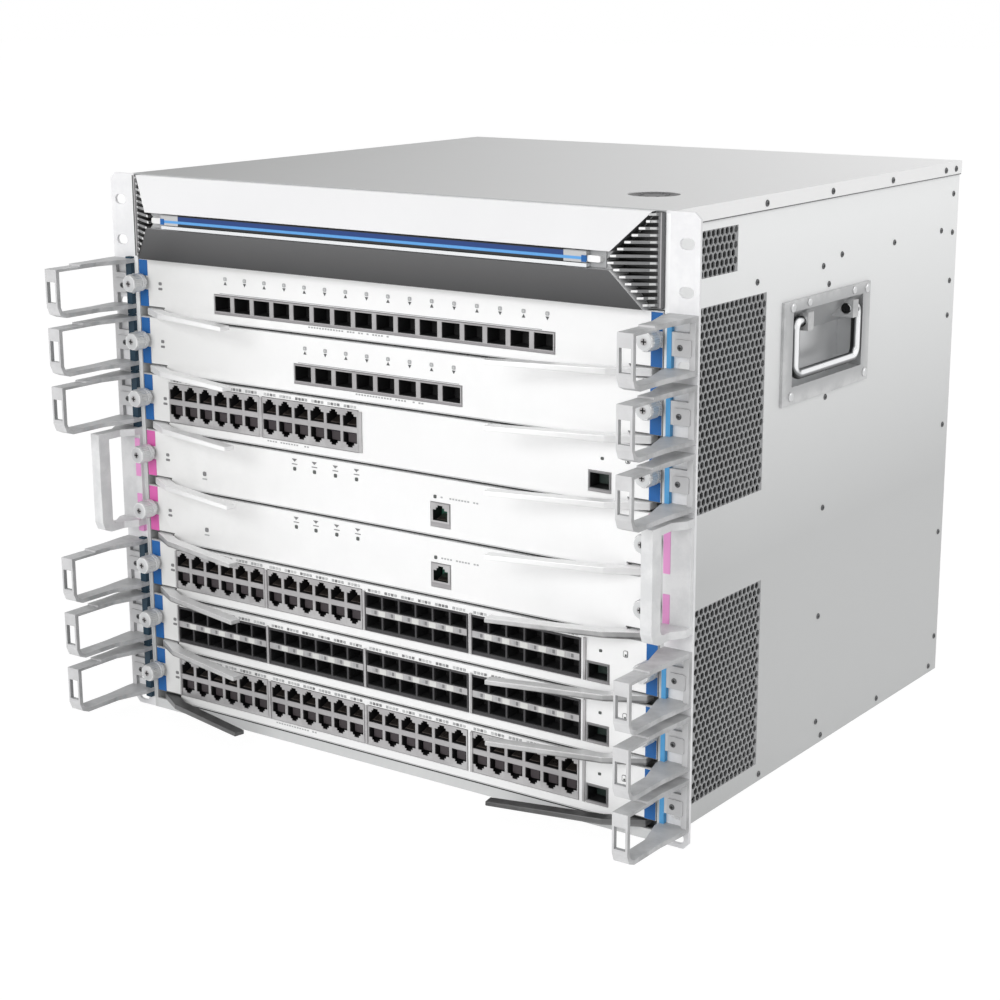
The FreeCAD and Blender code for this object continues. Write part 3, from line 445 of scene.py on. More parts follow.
class Build:
    """Collects mesh parts in millimetres, with a material for each face."""
    BLOCK = ((0, 3, 2, 1), (4, 5, 6, 7), (0, 1, 5, 4), (1, 2, 6, 5), (2, 3, 7, 6), (3, 0, 4, 7))
    PLACES = {"x": lambda a, b, c: (c, a, b), "y": lambda a, b, c: (a, c, b), "z": lambda a, b, c: (a, b, c)}

    def __init__(self):
        self.verts = []
        self.faces = []
        self.mats = []
        self.used = []
        self.smooth = []

    def add(self, verts, faces, mat, smooth=False):
        start = len(self.verts)
        self.verts += [tuple(v) for v in verts]
        if mat not in self.used:
            self.used.append(mat)
        for f in faces:
            self.faces.append([start + i for i in f])
            self.mats.append(self.used.index(mat))
            self.smooth.append(smooth)

    def block(self, low, high, mat):
        """Six faces over four lower and four upper corners."""
        self.add(low + high, self.BLOCK, mat)

    def box(self, lo, hi, mat):
        x0, y0, z0 = (min(a, b) for a, b in zip(lo, hi))
        x1, y1, z1 = (max(a, b) for a, b in zip(lo, hi))
        foot = rect(x0, x1, y0, y1)
        self.block([(x, y, z0) for x, y in foot], [(x, y, z1) for x, y in foot], mat)

    def mark(self, x0, x1, z0, z1, mat, proud=0.2):
        """Thin block on the front plane."""
        self.box((x0, F - proud, z0), (x1, F + 0.05, z1), mat)

    def plate(self, outer, holes, axis, lo, hi, mat):
        """Sheet with holes. Outline points are (a, b) in the plane across the axis:
        x -> (y, z), y -> (x, z), z -> (x, y)."""
        place = self.PLACES[axis]
        loops = [list(outer)] + [list(h) for h in holes]
        tris = tessellate_polygon([[Vector((a, b, 0)) for a, b in loop] for loop in loops])
        flat = [p for loop in loops for p in loop]
        n = len(flat)
        verts = [place(a, b, lo) for a, b in flat] + [place(a, b, hi) for a, b in flat]
        caps = [tuple(t) for t in tris]
        caps += [tuple(n + i for i in reversed(t)) for t in tris]
        self.add(verts, caps, mat)
        sides = []
        at = 0
        for loop in loops:
            for i in range(len(loop)):
                a, b = at + i, at + (i + 1) % len(loop)
                sides.append((a, b, b + n, a + n))
            at += len(loop)
        self.add(verts, sides, mat)

    def tile(self, outline, proud, sunk, mat):
        """Thin plate on the front plane."""
        self.plate(outline, [], "y", F - proud, F + sunk, mat)

    def lathe(self, centre, axis, profile, sides, mat, smooth=True, ripple=None):
        """Profile of (radius, along) turned about an axis through the centre."""
        place = {"x": lambda c, s, a: (a, c, s), "y": lambda c, s, a: (c, a, s),
                 "z": lambda c, s, a: (c, s, a)}[axis]
        verts = []
        for radius, along in profile:
            for i in range(sides):
                ang = math.tau * i / sides
                rr = radius * (ripple(i) if ripple and radius > 1 else 1)
                p = place(rr * math.cos(ang), rr * math.sin(ang), along)
                verts.append(tuple(p[k] + centre[k] for k in range(3)))
        faces = []
        for j in range(len(profile) - 1):
            for i in range(sides):
                a, b = j * sides + i, j * sides + (i + 1) % sides
                faces.append((a, b, b + sides, a + sides))
        self.add(verts, faces, mat, smooth)
        last = (len(profile) - 1) * sides
        self.add(verts, [tuple(range(last, last + sides)), tuple(reversed(range(sides)))], mat)

    def tube(self, points, radius, sides, mat):
        """Round bar along a line of points, with mitred turns."""
        pts = [Vector(p) for p in points]
        ways = [(b - a).normalized() for a, b in zip(pts, pts[1:])]
        turns = [ways[0]] + [(a + b).normalized() for a, b in zip(ways, ways[1:])] + [ways[-1]]
        verts, faces = [], []
        normal = turns[0].orthogonal().normalized()
        for p, d in zip(pts, turns):
            normal = (normal - d * normal.dot(d)).normalized()
            other = d.cross(normal)
            for k in range(sides):
                ang = math.tau * k / sides
                verts.append(p + radius * (math.cos(ang) * normal + math.sin(ang) * other))
        for i in range(len(pts) - 1):
            for k in range(sides):
                m = (k + 1) % sides
                faces.append((i * sides + k, i * sides + m, (i + 1) * sides + m, (i + 1) * sides + k))
        self.add(verts, faces, mat, True)
        last = (len(pts) - 1) * sides
        self.add(verts, [tuple(reversed(range(sides))), tuple(range(last, last + sides))], mat)

    def make(self, name, body, bevel=0.0, side=1):
        """The finished piece, on its body; side -1 mirrors it to the left."""
        mesh = bpy.data.meshes.new(name)
        mesh.from_pydata([(side * x * MM, y * MM, z * MM) for x, y, z in self.verts], [], self.faces)
        for key in self.used:
            mesh.materials.append(LOOKS[key])
        for p, k, s in zip(mesh.polygons, self.mats, self.smooth):
            p.material_index = k
            p.use_smooth = s
        bm = bmesh.new()
        bm.from_mesh(mesh)
        bmesh.ops.remove_doubles(bm, verts=bm.verts, dist=1e-6)
        bmesh.ops.recalc_face_normals(bm, faces=bm.faces)
        bm.to_mesh(mesh)
        bm.free()
        obj = bpy.data.objects.new(name, mesh)
        bpy.context.scene.collection.objects.link(obj)
        if bevel:
            soften(obj, bevel, 2, 40)
        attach(obj, body)
        return obj


def soften(obj, width, segments, angle=35):
    """Bevel, in mm, on edges sharper than an angle."""
    mod = obj.modifiers.new("Bevel", "BEVEL")
    mod.width = width * MM
    mod.segments = segments
    mod.limit_method = "ANGLE"
    mod.angle_limit = math.radians(angle)


# ------------------------ side walls

PITCH, RISE = 5.55, 4.8                 # between holes in a row, and between rows
VENTS = [(34.0, 8, 352.0, 6),           # distance from the front, holes in a row, foot, rows
         (34.0, 15, 204.6, 27),
         (37.0, 15, 13.2, 27)]
SHEET_IN, SHEET_OUT = 219.8, 220.9      # the perforated sheet, just under the wall's face
HOLE = 2.45                             # radius of a hexagonal hole, to its corners
RACK_HOLES = (6.35, 377.8, 304.8, 349.3)
SPARE_HOLES = (22.2, 111.1, 200.0)
EAR_CORNER = 4


def vent_box(front, count, foot, rows):
    return F + front, F + front + (count + 0.5) * PITCH, foot, foot + rows * RISE


def cell(b, y, z):
    """One hexagonal hole and the sheet round it."""
    w, h = PITCH / 2, RISE / 2
    hexagon = [(y + HOLE * math.sin(math.radians(60 * k)), z + HOLE * math.cos(math.radians(60 * k)))
               for k in range(6)]
    border = [(y, z + h), (y + w, z + h), (y + w, z - h), (y, z - h), (y - w, z - h), (y - w, z + h)]
    verts = [(SHEET_OUT, *p) for p in hexagon + border] + [(SHEET_IN, *p) for p in hexagon]
    faces = [(k, 6 + k, 6 + (k + 1) % 6, (k + 1) % 6) for k in range(6)]
    faces += [(k, (k + 1) % 6, 12 + (k + 1) % 6, 12 + k) for k in range(6)]
    b.add(verts, faces, "perforated")


def vent(b, front, count, foot, rows):
    """Perforated field. Every other row is half a pitch on, and a plain strip fills its free end."""
    y0, y1, _, _ = vent_box(front, count, foot, rows)
    for j in range(rows):
        z = foot + (j + 0.5) * RISE
        strip = y0 if j % 2 else y1 - PITCH / 2
        b.box((SHEET_IN, strip, z - RISE / 2), (SHEET_OUT, strip + PITCH / 2, z + RISE / 2), "perforated")
        for i in range(count):
            cell(b, y0 + (i + (1.0 if j % 2 else 0.5)) * PITCH, z)


def side_wall(side, s):
    """Wall with its windows, and the rack ear folded from it."""
    b = Build()
    windows = [rect(*vent_box(*v)) for v in VENTS]
    windows.append(rect(F + 152.2, F + 257.8, 265.2, 318.8))
    b.plate(rect(F, R, 0, COVER), windows, "x", WALL_IN, WALL, "body_paint")
    slots = [stadium(232.55, z, 5.15, 3.4) for z in RACK_HOLES]
    slots += [stadium(232.55, z, 5.0, 3.4) for z in SPARE_HOLES]
    ear = [(WALL, 0), (EAR - EAR_CORNER, 0), (EAR, EAR_CORNER), (EAR, TOP - EAR_CORNER),
           (EAR - EAR_CORNER, TOP), (WALL, TOP)]
    b.plate(ear, slots, "y", F, F + 2, "white_ear")
    b.box((WALL_IN, F, COVER), (WALL, F + 2, TOP), "white_ear")
    for v in VENTS:
        vent(b, *v)
    # dark sheets just inside the windows: painted shade of the chassis's inside
    for v in VENTS:
        y0, y1, z0, z1 = vent_box(*v)
        b.box((216.6, y0 - 2, z0 - 2), (217.4, y1 + 2, z1 + 2), "dark")
    obj = b.make(side + "_wall_sheet", "chassis", side=s)
    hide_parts(side + "_side_panel")


for side, s in SIDES:
    side_wall(side, s)

# ------------------------ screws and rivets of the walls

WALL_SCREWS = [(406, 372.6), (387, 347), (407, 344), (406, 308), (405, 282), (406, 198), (408, 113),
               (410, 28), (402, 5.4), (309, 6), (218, 5), (210, 17.4), (127, 5), (208, 96), (209, 174),
               (107, 342), (198, 342), (225, 347), (207, 329), (307, 346.6), (207, 252)]
LIP_SCREWS = (114.5, 205.4, 297.3, 387, 405)


def screw_head(b, centre, axis, sign, radius, high):
    """Low pan head, with a dark cross as painted shade of its recess."""
    k = "xyz".index(axis)
    m, n = [i for i in range(3) if i != k]
    profile = [(radius, 0), (radius, 0.35 * high), (radius * 0.88, 0.8 * high), (radius * 0.55, high)]
    b.lathe(centre, axis, [(r, sign * along) for r, along in profile], 16, "screw_dark")
    # dark cross: painted shade in the recess
    arm, wide = radius * 0.55, radius * 0.16
    for dm, dn in ((arm, wide), (wide, arm)):
        lo, hi = list(centre), list(centre)
        lo[k], hi[k] = centre[k] + sign * high * 0.55, centre[k] + sign * (high + 0.05)
        lo[m], hi[m] = centre[m] - dm, centre[m] + dm
        lo[n], hi[n] = centre[n] - dn, centre[n] + dn
        b.box(lo, hi, "dark")


def wall_screws(side, s):
    b = Build()
    for y, z in WALL_SCREWS:
        screw_head(b, (WALL, F + y, z), "x", 1, 2.1, 0.8)
    for y in LIP_SCREWS:
        screw_head(b, (222.5, F + y, 391), "x", 1, 2.2, 0.9)
    b.make(side + "_wall_screws", "chassis", side=s)


def handle_rivets(side, s):
    b = Build()
    for y, z in ((153, 261), (262, 261), (153, 320), (262, 320)):
        b.lathe((223, F + y, z), "x", [(3.2, 0), (3.0, 0.7), (2.0, 1.2), (0.8, 1.35)], 18, "chrome")
    for y in (176, 242):
        b.lathe((223, F + y, 320.9), "x", [(2.7, 0), (2.5, 0.7), (1.6, 1.1)], 16, "chrome")
    b.make(side + "_handle_rivets", "chassis", side=s)


for side, s in SIDES:
    wall_screws(side, s)
    handle_rivets(side, s)

# ------------------------ top cover

PLUG = (162, F + 78)


def cover_plug():
    """Round plug in the cover, with a raised rim and a ring of small squares."""
    b = Build()
    x, y = PLUG
    rim = [(16.8, -0.1), (16.8, 0.25), (15.2, 0.55), (12.5, 0.3), (12.0, 0.1), (4.0, 0.1)]
    b.lathe((x, y, 395.75), "z", rim, 40, "black_frame")
    for i in range(8):
        a = math.tau * i / 8
        cx, cy = x + 9 * math.cos(a), y + 9 * math.sin(a)
        b.box((cx - 0.9, cy - 0.9, 395.8), (cx + 0.9, cy + 0.9, 396.15), "screw_dark")
    b.make("cover_plug", "chassis")


def lip_shadow_line(side, s):
    b = Build()
    b.box((WALL, F + 2.2, 386.3), (222.2, R - 0.2, 386.95), "screw_dark")
    b.make(side + "_lip_shadow_line", "chassis", side=s)


cover_plug()
for side, s in SIDES:
    lip_shadow_line(side, s)

# ------------------------ bezel

SLATS = 14
SLAT_THICK = 1.8
APEX = 29.1             # height of a grille's point above the bezel's foot
POINT = (185.6, 18.5)   # a grille's outline: distance from the middle and from the front, at its point,
FOOT = (209, 9)         # at its foot
CREST = (212.6, 5)      # and at its top


def light_bar_ends():
    """Blue stops and pale caps at the ends of the light bar, each cap on its bracket."""
    b = Build()
    for s in (-1, 1):
        b.box((s * 171.4, F - 19.5, 365.2), (s * 174.9, F - 18.9, 369.2), "strip_blue")
        cap = rounded(*sorted((s * 175.0, s * 184.2)), 365.4, 369.4, 1.2)
        b.plate(cap, [], "y", F - 18.4, F - 13.5, "panel_steel")
        b.box((s * 174.7, F - 14.6, 362.0), (s * 186.0, F - 13.4, 372.0), "mark_pale")
    b.make("light_bar_ends", "chassis", 0.3)


def between(a, b, share):
    return a + (b - a) * share


def slat_edge(number):
    """Foot, inner end and depth of a grille slat, from the solids' own sizes."""
    rise = (number + 0.5) * (TOP - HEADER - 1) / SLATS
    below = rise / APEX
    above = (TOP - HEADER - rise - SLAT_THICK) / (TOP - HEADER - APEX)
    end = max(between(FOOT[0], POINT[0], below), between(CREST[0], POINT[0], above))
    out = min(between(FOOT[1], POINT[1], below), between(CREST[1], POINT[1], above))
    return HEADER + rise, end + 0.8, out - 0.6


def grille_edge(side, s):
    """Three bright and dark uprights at a grille's side, and pale ends on its slats as painted highlights.
    """
    b = Build()
    for x0, x1, out, mat in ((213.9, 215.6, 2.2, "mark"), (215.6, 216.5, 2.6, "separator"),
                             (216.5, 217.8, 2.6, "screw_dark")):
        b.box((x0, F - out, HEADER + 1.0), (x1, F - 0.3, TOP - 1.0), mat)
    for number in range(SLATS):
        z, x, out = slat_edge(number)
        slope = (out - 1) / (217 - x)
        # pale slat ends: painted highlights on their front tips
        for xa, xb, mat in ((x, min(x + 3.2, 213), "panel_steel"), (210.2, 213.6, "seam_pale")):
            if xb - xa < 1:
                continue
            ya, yb = F - (out - (xa - x) * slope), F - (out - (xb - x) * slope)
            plan = [(xa, ya - 0.35), (xb, yb - 0.35), (xb, yb + 1.0), (xa, ya + 1.0)]
            b.block([(*p, z + 0.2) for p in plan], [(*p, z + 1.6) for p in plan], mat)
    b.make(side + "_grille_edge", "chassis", 0.2, side=s)


light_bar_ends()
for side, s in SIDES:
    grille_edge(side, s)

# ------------------------ ear strips and ring pads

def ear_strips(side, s):
    """Coloured strips behind the rings, on the left ear mostly dark teal as painted shadow, and a pad with a
    screw on each ring's base.
    """
    b = Build()
    for row in ROWS:
        z = base(row)
        if row in SUPERVISORS:
            mat, low, high, wide = "strip_pale", 4.9, 33.2, 4.8
        # left ear: the light blue strip drawn dark teal as painted shadow of the ring's base
        elif side == "left":
            mat, low, high, wide = "strip_teal", 0.2, 41.2, 5.4
        else:
            mat, low, high, wide = "strip_light", 4.9, 36.0, 3.2
        b.tile(rounded(221.6, 221.6 + wide, z + low, z + high, 0.4), 3.35, -0.02, mat)
        if row not in SUPERVISORS:
            screw_head(b, (231.0, F - 3.9, z + 20.4), "y", -1, 1.9, 0.7)
            b.tile(rounded(227.2, 238.6, z + 15.2, z + 25.4, 1.2), 3.95, -2.9, "ring_pad")
    b.make(side + "_ear_strips", "chassis", side=s)


for side, s in SIDES:
    ear_strips(side, s)

# ------------------------ ports

# left end, foot above the card's, steps across and up, counts across and up, width and height of a hole
Ports = namedtuple("Ports", "kind left low pitch rise count up wide high")
PORT_DEEP = 12.6


def double_row(kind, number):
    """One of the four double rows of six."""
    wide, high = {"jack": (12.2, 10.8), "cage": (13.2, 9.2)}[kind]
    return Ports(kind, -191.7 + number * 88.7, 9.6, 14.3, 14.2, 6, 2, wide, high)


SINGLE = Ports("single", 165.9, 9.0, 16, 14, 1, 1, 14.6, 10.0)
CONSOLE = Ports("console", 42.6, 10.4, 16, 14, 1, 1, 14.0, 12.0)
PORTS = {
    1: [Ports("wide", -144.4, 8.9, 17.9, 14, 16, 1, 14.6, 10.6)],
    2: [Ports("wide", -72.8, 8.9, 17.9, 14, 8, 1, 14.6, 10.6)],
    3: [double_row("jack", 0), double_row("jack", 1), SINGLE],
    4: [CONSOLE],
    5: [CONSOLE],
    6: [double_row("jack", 0), double_row("jack", 1), double_row("cage", 2), double_row("cage", 3), SINGLE],
    7: [double_row("cage", n) for n in range(4)] + [SINGLE],
    8: [double_row("jack", n) for n in range(4)] + [SINGLE],
}


def jack_hole(x, z, up):
    """Opening of a socket with its latch notch above (up) or below."""
    pts = [(0.1, 0.2), (12.1, 0.2), (12.1, 7.5), (9.6, 7.5), (9.6, 9.1), (8.2, 9.1), (8.2, 10.6),
           (4.0, 10.6), (4.0, 9.1), (2.6, 9.1), (2.6, 7.5), (0.1, 7.5)]
    if not up:
        pts = [(a, 10.8 - c) for a, c in reversed(pts)]
    return [(x + a, z + c) for a, c in pts]


def port_hole(p, x, z, top):
    if p.kind == "jack":
        return jack_hole(x, z, top)
    if p.kind == "console":
        return jack_hole(x + 0.9, z + 0.6, True)
    return rect(x + 0.15, x + p.wide - 0.15, z + 0.1, z + p.high - 0.15)


def liner(b, p, x, z):
    """Dark end and four thin walls inside a port."""
    end = F + PORT_DEEP
    b.box((x + 0.2, end, z + 0.2), (x + p.wide - 0.2, end + 0.8, z + p.high - 0.2), "dark")
    for xa in (x + 0.05, x + p.wide - 0.4):
        b.box((xa, F + 0.2, z + 0.1), (xa + 0.35, end, z + p.high - 0.1), "black_frame")
    for za in (z + 0.05, z + p.high - 0.4):
        b.box((x + 0.05, F + 0.2, za), (x + p.wide - 0.05, end, za + 0.35), "black_frame")


def contacts(b, p, x, z, upright):
    """Eight slanted spring wires, which start at the side away from the latch notch; in the lower jacks they
    carry painted shade.
    """
    half, thick = 0.24, 0.35
    front, back = (1.2, 3.8) if upright else (p.high - 1.5, p.high - 4.1)
    for k in range(8):
        cx = x + (2.55 if p.kind == "jack" else 3.4) + 1.02 * k
        wire = [(cx - half, F + 1.5, z + front), (cx + half, F + 1.5, z + front),
                (cx + half, F + 9, z + back), (cx - half, F + 9, z + back)]
        # wires of the lower jacks take the contact copy with painted shade
        b.block(wire, [(a, y, h + thick) for a, y, h in wire], "contact" if upright else "dark_contact")


def cage_strip(b, p, x0, x1, z):
    """Light strip of lamps and marks between the two rows of optical cages."""
    b.box((x0 + 0.6, F - 0.75, z - 2.2), (x1 - 0.6, F - 0.45, z + 2.2), "separator")
    for i in range(p.count):
        x = p.left + (i + 0.5) * p.pitch + p.wide / 2
        if i < p.count - 1:
            b.box((x - 2.9, F - 0.95, z - 2.0), (x + 2.9, F - 0.7, z + 1.8), "light_field")
        for dx, mat in ((-5.6, "mark"), (-8.4, "mark_pale")):
            b.box((x + dx - 0.9, F - 0.95, z - 1.2), (x + dx + 0.9, F - 0.7, z + 1.3), mat)


def dress_ports(b, row):
    """Faces, liners and contacts of the ports, each in its own part of the housing's front."""
    for p in PORTS[row]:
        foot = base(row) + p.low
        edge = 0.95 if p.up == 2 else 0.55
        x0, x1 = p.left - edge, p.left + (p.count - 1) * p.pitch + p.wide + edge
        z0 = base(row) + 7.3 if p.up == 2 else foot - 0.4
        z1 = foot + (p.up - 1) * p.rise + p.high + edge
        gap_x, gap_z = (p.pitch - p.wide) / 2, (p.rise - p.high) / 2
        face = {"cage": "cage_frame", "single": "mark"}.get(p.kind, "separator")
        for i in range(p.count):
            for j in range(p.up):
                x, z = p.left + i * p.pitch, foot + j * p.rise
                top = j == p.up - 1
                around = rect(x0 if i == 0 else x - gap_x, x1 if i == p.count - 1 else x + p.wide + gap_x,
                              z0 if j == 0 else z - gap_z, z1 if top else z + p.high + gap_z)
                b.plate(around, [port_hole(p, x, z, top)], "y", F - 0.5, F - 0.02, face)
                liner(b, p, x, z)
                if p.kind in ("jack", "console"):
                    contacts(b, p, x, z, top)
                if p.kind == "jack" and not top:
                    b.tile(rounded(x + 2.6, x + 9.6, z + 3.2, z + 9.4, 0.6), -2.2, 3.0, "tongue")
                if p.kind == "console":
                    b.box((x + 1.0, F + 9.4, z + 1.0), (x + 13, F + 10.2, z + 11), "green")
        if p.kind == "cage":
            cage_strip(b, p, x0, x1, foot + p.high + gap_z)
        if p.kind == "single":
            b.box((p.left + 2.0, F + 8.0, foot + 1.4), (p.left + 12.4, F + 8.6, foot + 8.2), "dark_green")


# ------------------------ marks on the cards' fronts

rng = random.Random(7)
DASH, DASH_STEP = 1.5, 2.4


def lamp(b, x, z, w, h, mat, proud=0.35):
    b.tile(rounded(x - w / 2, x + w / 2, z - h / 2, z + h / 2, min(w, h) * 0.25, 2), proud, 0.05, mat)


def triangle(b, x, z, w, h, mat, up):
    s = 1 if up else -1
    pts = [(x - w / 2, z - s * h / 2), (x + w / 2, z - s * h / 2), (x, z + s * h / 2)]
    b.tile(pts if up else pts[::-1], 0.3, 0.05, mat)


def dashes(b, x, count, share, z0, z1):
    """A broken line of dashes in place of printed words."""
    for i in range(count):
        if rng.random() < share:
            b.mark(x + DASH_STEP * i, x + DASH_STEP * i + DASH, z0, z1, "mark_pale")


def wide_port_marks(b, z, first, count, dashed, rule):
    """A lamp and an arrow over each port, with a broken line and a rule under and over the row."""
    for i in range(count):
        x = first + 17.9 * i
        lamp(b, x, z + 31.8, 2.8, 2.6, "mark_pale")
        b.mark(x - 0.5, x + 0.5, z + 31.2, z + 32.4, "seam_pale", 0.5)
        triangle(b, x, z + 28.8, 2.6, 2.2, "screw_dark", i % 2 == 0)
    dashes(b, dashed[0], int((dashed[1] - dashed[0]) / DASH_STEP), 0.72, z + 4.9, z + 5.9)
    b.tile(rounded(*rule, z + 21.2, z + 21.7, 0.2, 1), 0.2, 0.05, "mark_pale")


def supervisor_marks(b, z):
    for x in (-75.7, -57.9, -39.3, -20.8):
        triangle(b, x, z + 35.6, 4.4, 2.0, "mark", False)
        lamp(b, x, z + 29.6, 2.6, 2.6, "lamp")
        b.mark(x - 2.4, x + 2.4, z + 32.6, z + 33.2, "mark")
    lamp(b, -161, z + 14.4, 3.2, 3.2, "mark")
    lamp(b, -161, z + 10.6, 4.4, 1.0, "mark_pale")
    lamp(b, 45.4, z + 27.2, 2.4, 2.4, "lamp")
    dashes(b, 50, 13, 0.75, z + 26.8, z + 27.8)


def block_marks(b, p, z):
    """Four small fields over each pair of ports, or the lamps beside the single port."""
    if p.up == 2:
        zt = z + p.low + p.rise + p.high + 3.1
        for i in range(p.count):
            x = p.left + i * p.pitch + p.wide / 2
            for dx in (-5.0, -2.2, 0.6, 3.4):
                mat = rng.choice(("mark_pale", "seam_pale", "mark_pale", "mark"))
                b.mark(x + dx, x + dx + 1.9, zt - 0.9, zt + 0.8, mat, 0.4)
    if p.kind == "single":
        lamp(b, p.left + 9.1, z + 28.4, 2.2, 1.9, "lamp")
        lamp(b, p.left + 27.6, z + 29.6, 3.4, 4.4, "mark")
        lamp(b, p.left + 27.6, z + 29.8, 2.4, 3.4, "panel_steel", 0.45)
        lamp(b, p.left + 27.9, z + 28.9, 1.4, 1.4, "lamp", 0.55)


def uprights(b, places, half, proud, z):
    """Steel ribs beside the blocks of ports."""
    for x in places:
        b.box((x - half, F - proud, z + 7.2), (x + half, F - 0.1, z + 35.2), "separator")


def marks(b, row):
    """Lamps and small wordless marks of a card's front."""
    z = base(row)
    if row == 1:
        wide_port_marks(b, z, -134.4, 16, (-60, 10), (-140, 130))
    if row == 2:
        wide_port_marks(b, z, -63.6, 8, (-20, 40), (-70, 66))
    if row in SUPERVISORS:
        supervisor_marks(b, z)
    lamp(b, -196.8, z + 23.6, 2.8, 2.2, "mark")
    lamp(b, -196.8, z + 19.9, 3.6, 1.6, "mark")
    if row in (3, 6, 7, 8):
        for p in PORTS[row]:
            block_marks(b, p, z)
    if row in (3, 8):
        dashes(b, -100, 16, 0.75, z + 4.6, z + 5.5)
    if row in (6, 7, 8):
        uprights(b, (-105, -16.2, 74, 163.4), 0.9, 1.3, z)
        uprights(b, (-192.6,), 0.6, 1.3, z)
    if row == 3:
        uprights(b, (-105, -16.4), 1.3, 1.1, z)


def strips(b, row):
    """Two coloured fields at each end of a faceplate, over and under the thumbscrew."""
    z = base(row)
    mat = "strip_pink" if row in SUPERVISORS else "strip_blue"
    for s in (-1, 1):
        x0, x1 = sorted((s * 208.8, s * 216.8))
        for low, high in ((28.4, 39.6), (6.6, 18.6)):
            b.tile(rect(x0, x1, z + low, z + high), 0.3, 0.05, mat)


def seams(b, row):
    """A dark line along a card's lower edge, partly the joint and partly painted shade, a pale grey line
    over it as painted shade of the folded edge, and faint lines at its top and corners.
    """
    z = base(row)
    # dark line: joint and painted shade under the card's edge
    b.mark(-193.2, 193.2, z - 0.25, z + 0.7, "dark", 0.25)
    # pale grey line: painted shade of the folded edge
    b.mark(-193.2, 193.2, z + 0.7, z + 1.4, "seam_pale", 0.4)
    b.mark(-216.6, 216.6, z + 40.0, z + 40.4, "mark_pale", 0.3)
    for s in (-1, 1):
        b.mark(*sorted((s * 193.4, s * 216.6)), z + 6.3, z + 6.9, "screw_dark", 0.25)


# ------------------------ thumbscrews

TEETH = 28
SHANK = [(4.0, 0.05), (4.0, 1.2), (3.7, 1.2), (3.7, 3.0)]           # radius and distance from the front
KNURLED = [(4.2, 2.9), (6.15, 3.1), (6.5, 3.8), (6.5, 6.4), (6.1, 6.8), (6.1, 7.6), (6.5, 8.0),
           (6.5, 13.2), (6.0, 14.6), (5.2, 15.3), (3.0, 15.45)]
BUTTON = [(2.4, 15.2), (2.4, 15.5), (2.0, 15.55)]


def knob(b, s, row):
    """Knurled captive thumbscrew over the plain solid: shank, knurled head and a dark cross as painted shade
    of its recess.
    """
    def forward(profile):
        return [(radius, F - out) for radius, out in profile]
    x, z = s * 213.0, base(row) + 24.0
    b.lathe((x, 0, z), "y", forward(SHANK), 20, "chrome")
    b.lathe((x, 0, z), "y", forward(KNURLED), TEETH * 2, "chrome", False, lambda i: 1.0 if i % 2 else 0.955)
    b.lathe((x, 0, z), "y", forward(BUTTON), 16, "separator")
    # dark cross: painted shade in the recess
    for dx, dz in ((1.7, 0.42), (0.42, 1.7)):
        b.box((x - dx, F - 15.7, z - dz), (x + dx, F - 15.4, z + dz), "dark")


for row in ROWS:
    b = Build()
    dress_ports(b, row)
    marks(b, row)
    strips(b, row)
    seams(b, row)
    b.make("card_%d_front_detail" % row, "card_%d" % row)
    b = Build()
    for s in (-1, 1):
        knob(b, s, row)
    b.make("card_%d_thumbscrews" % row, "card_%d" % row)

# ------------------------ bails

def bail(side, s):
    """Round bar hung in the lugs: two short ears, two legs and a grip."""
    pivot, grip = 309.0, 274.0                  # heights
    front, rear = F + 160, F + 250
    turn, small = 7.0, 4.2                      # radii of the lower and upper bends
    line = [(F + 176.2, pivot)]
    line += arc(front + small, pivot - small, small, 90, 90, 8)
    line += arc(front + turn, grip + turn, turn, 180, 90, 8)
    line += arc(rear - turn, grip + turn, turn, 270, 90, 8)
    line += arc(rear - small, pivot - small, small, 0, 90, 8)
    line.append((F + 233.8, pivot))
    b = Build()
    b.tube([(s * WALL, y, z) for y, z in line], 3.4, 24, "bail_chrome")
    obj = b.make(side + "_bail_bar", "bail_" + side)
    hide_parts(side + "_handle_bail")


for side, s in SIDES:
    bail(side, s)

# ------------------------ ejector levers

# distance from the middle, depth behind the front plane and height of the underside over the card's foot
LEVER = [(210, 8.2, 0.5), (210, -0.5, 0.5), (186, -15, 1.3), (109, -34, 2.4),
         (107.5, -26, 2.4), (183, -7, 1.3), (196, 0.4, 0.5), (196, 8.2, 0.5)]
LEVER_TOP = 5.5


def lever(side, s, row):
    """The solid's outline with softened edges; its underside rises from the root to the tip."""
    n = len(LEVER)
    verts = [(s * x, F + y, base(row) + low) for x, y, low in LEVER]
    verts += [(s * x, F + y, base(row) + LEVER_TOP) for x, y, _ in LEVER]
    faces = [(0, 1, 6, 7), (1, 2, 5, 6), (2, 3, 4, 5)]
    faces += [tuple(n + i for i in reversed(f)) for f in faces]
    faces += [(i, i + n, (i + 1) % n + n, (i + 1) % n) for i in range(n)]
    b = Build()
    # rows 5 to 7 take lever_grey and row 8 lever_dark, the copies with painted shade
    b.add(verts, faces, "lever_dark" if row == 8 else "lever_grey" if row > 4 else "lever_steel")
    obj = b.make("lever_%s_%d_bar" % (side, row), "lever_%s_%d" % (side, row), 0.6)
    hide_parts("slot%d_lever_%s" % (row, side))


for row in ROWS:
    for side, s in SIDES:
        lever(side, s, row)

# ------------------------ materials and bevels on the solids

# end of the nodes' names, bevel in mm, segments, least angle
BEVELS = [
    (("_cable_rings",), 0.7, 2, 25),
    (("_guard_loop",), 1.2, 3, 25),
    (("_handle_dish",), 0.6, 2, 35),
    (("_bezel", "_bar", "_bar_trim", "_cover", "_plate", "_header"), 0.35, 2, 35),
    (tuple("slot%d_panel" % row for row in ROWS), 0.25, 1, 35),
    (("_tray", "_module_1", "_module_2", "rear_panel"), 0.5, 2, 35),
]

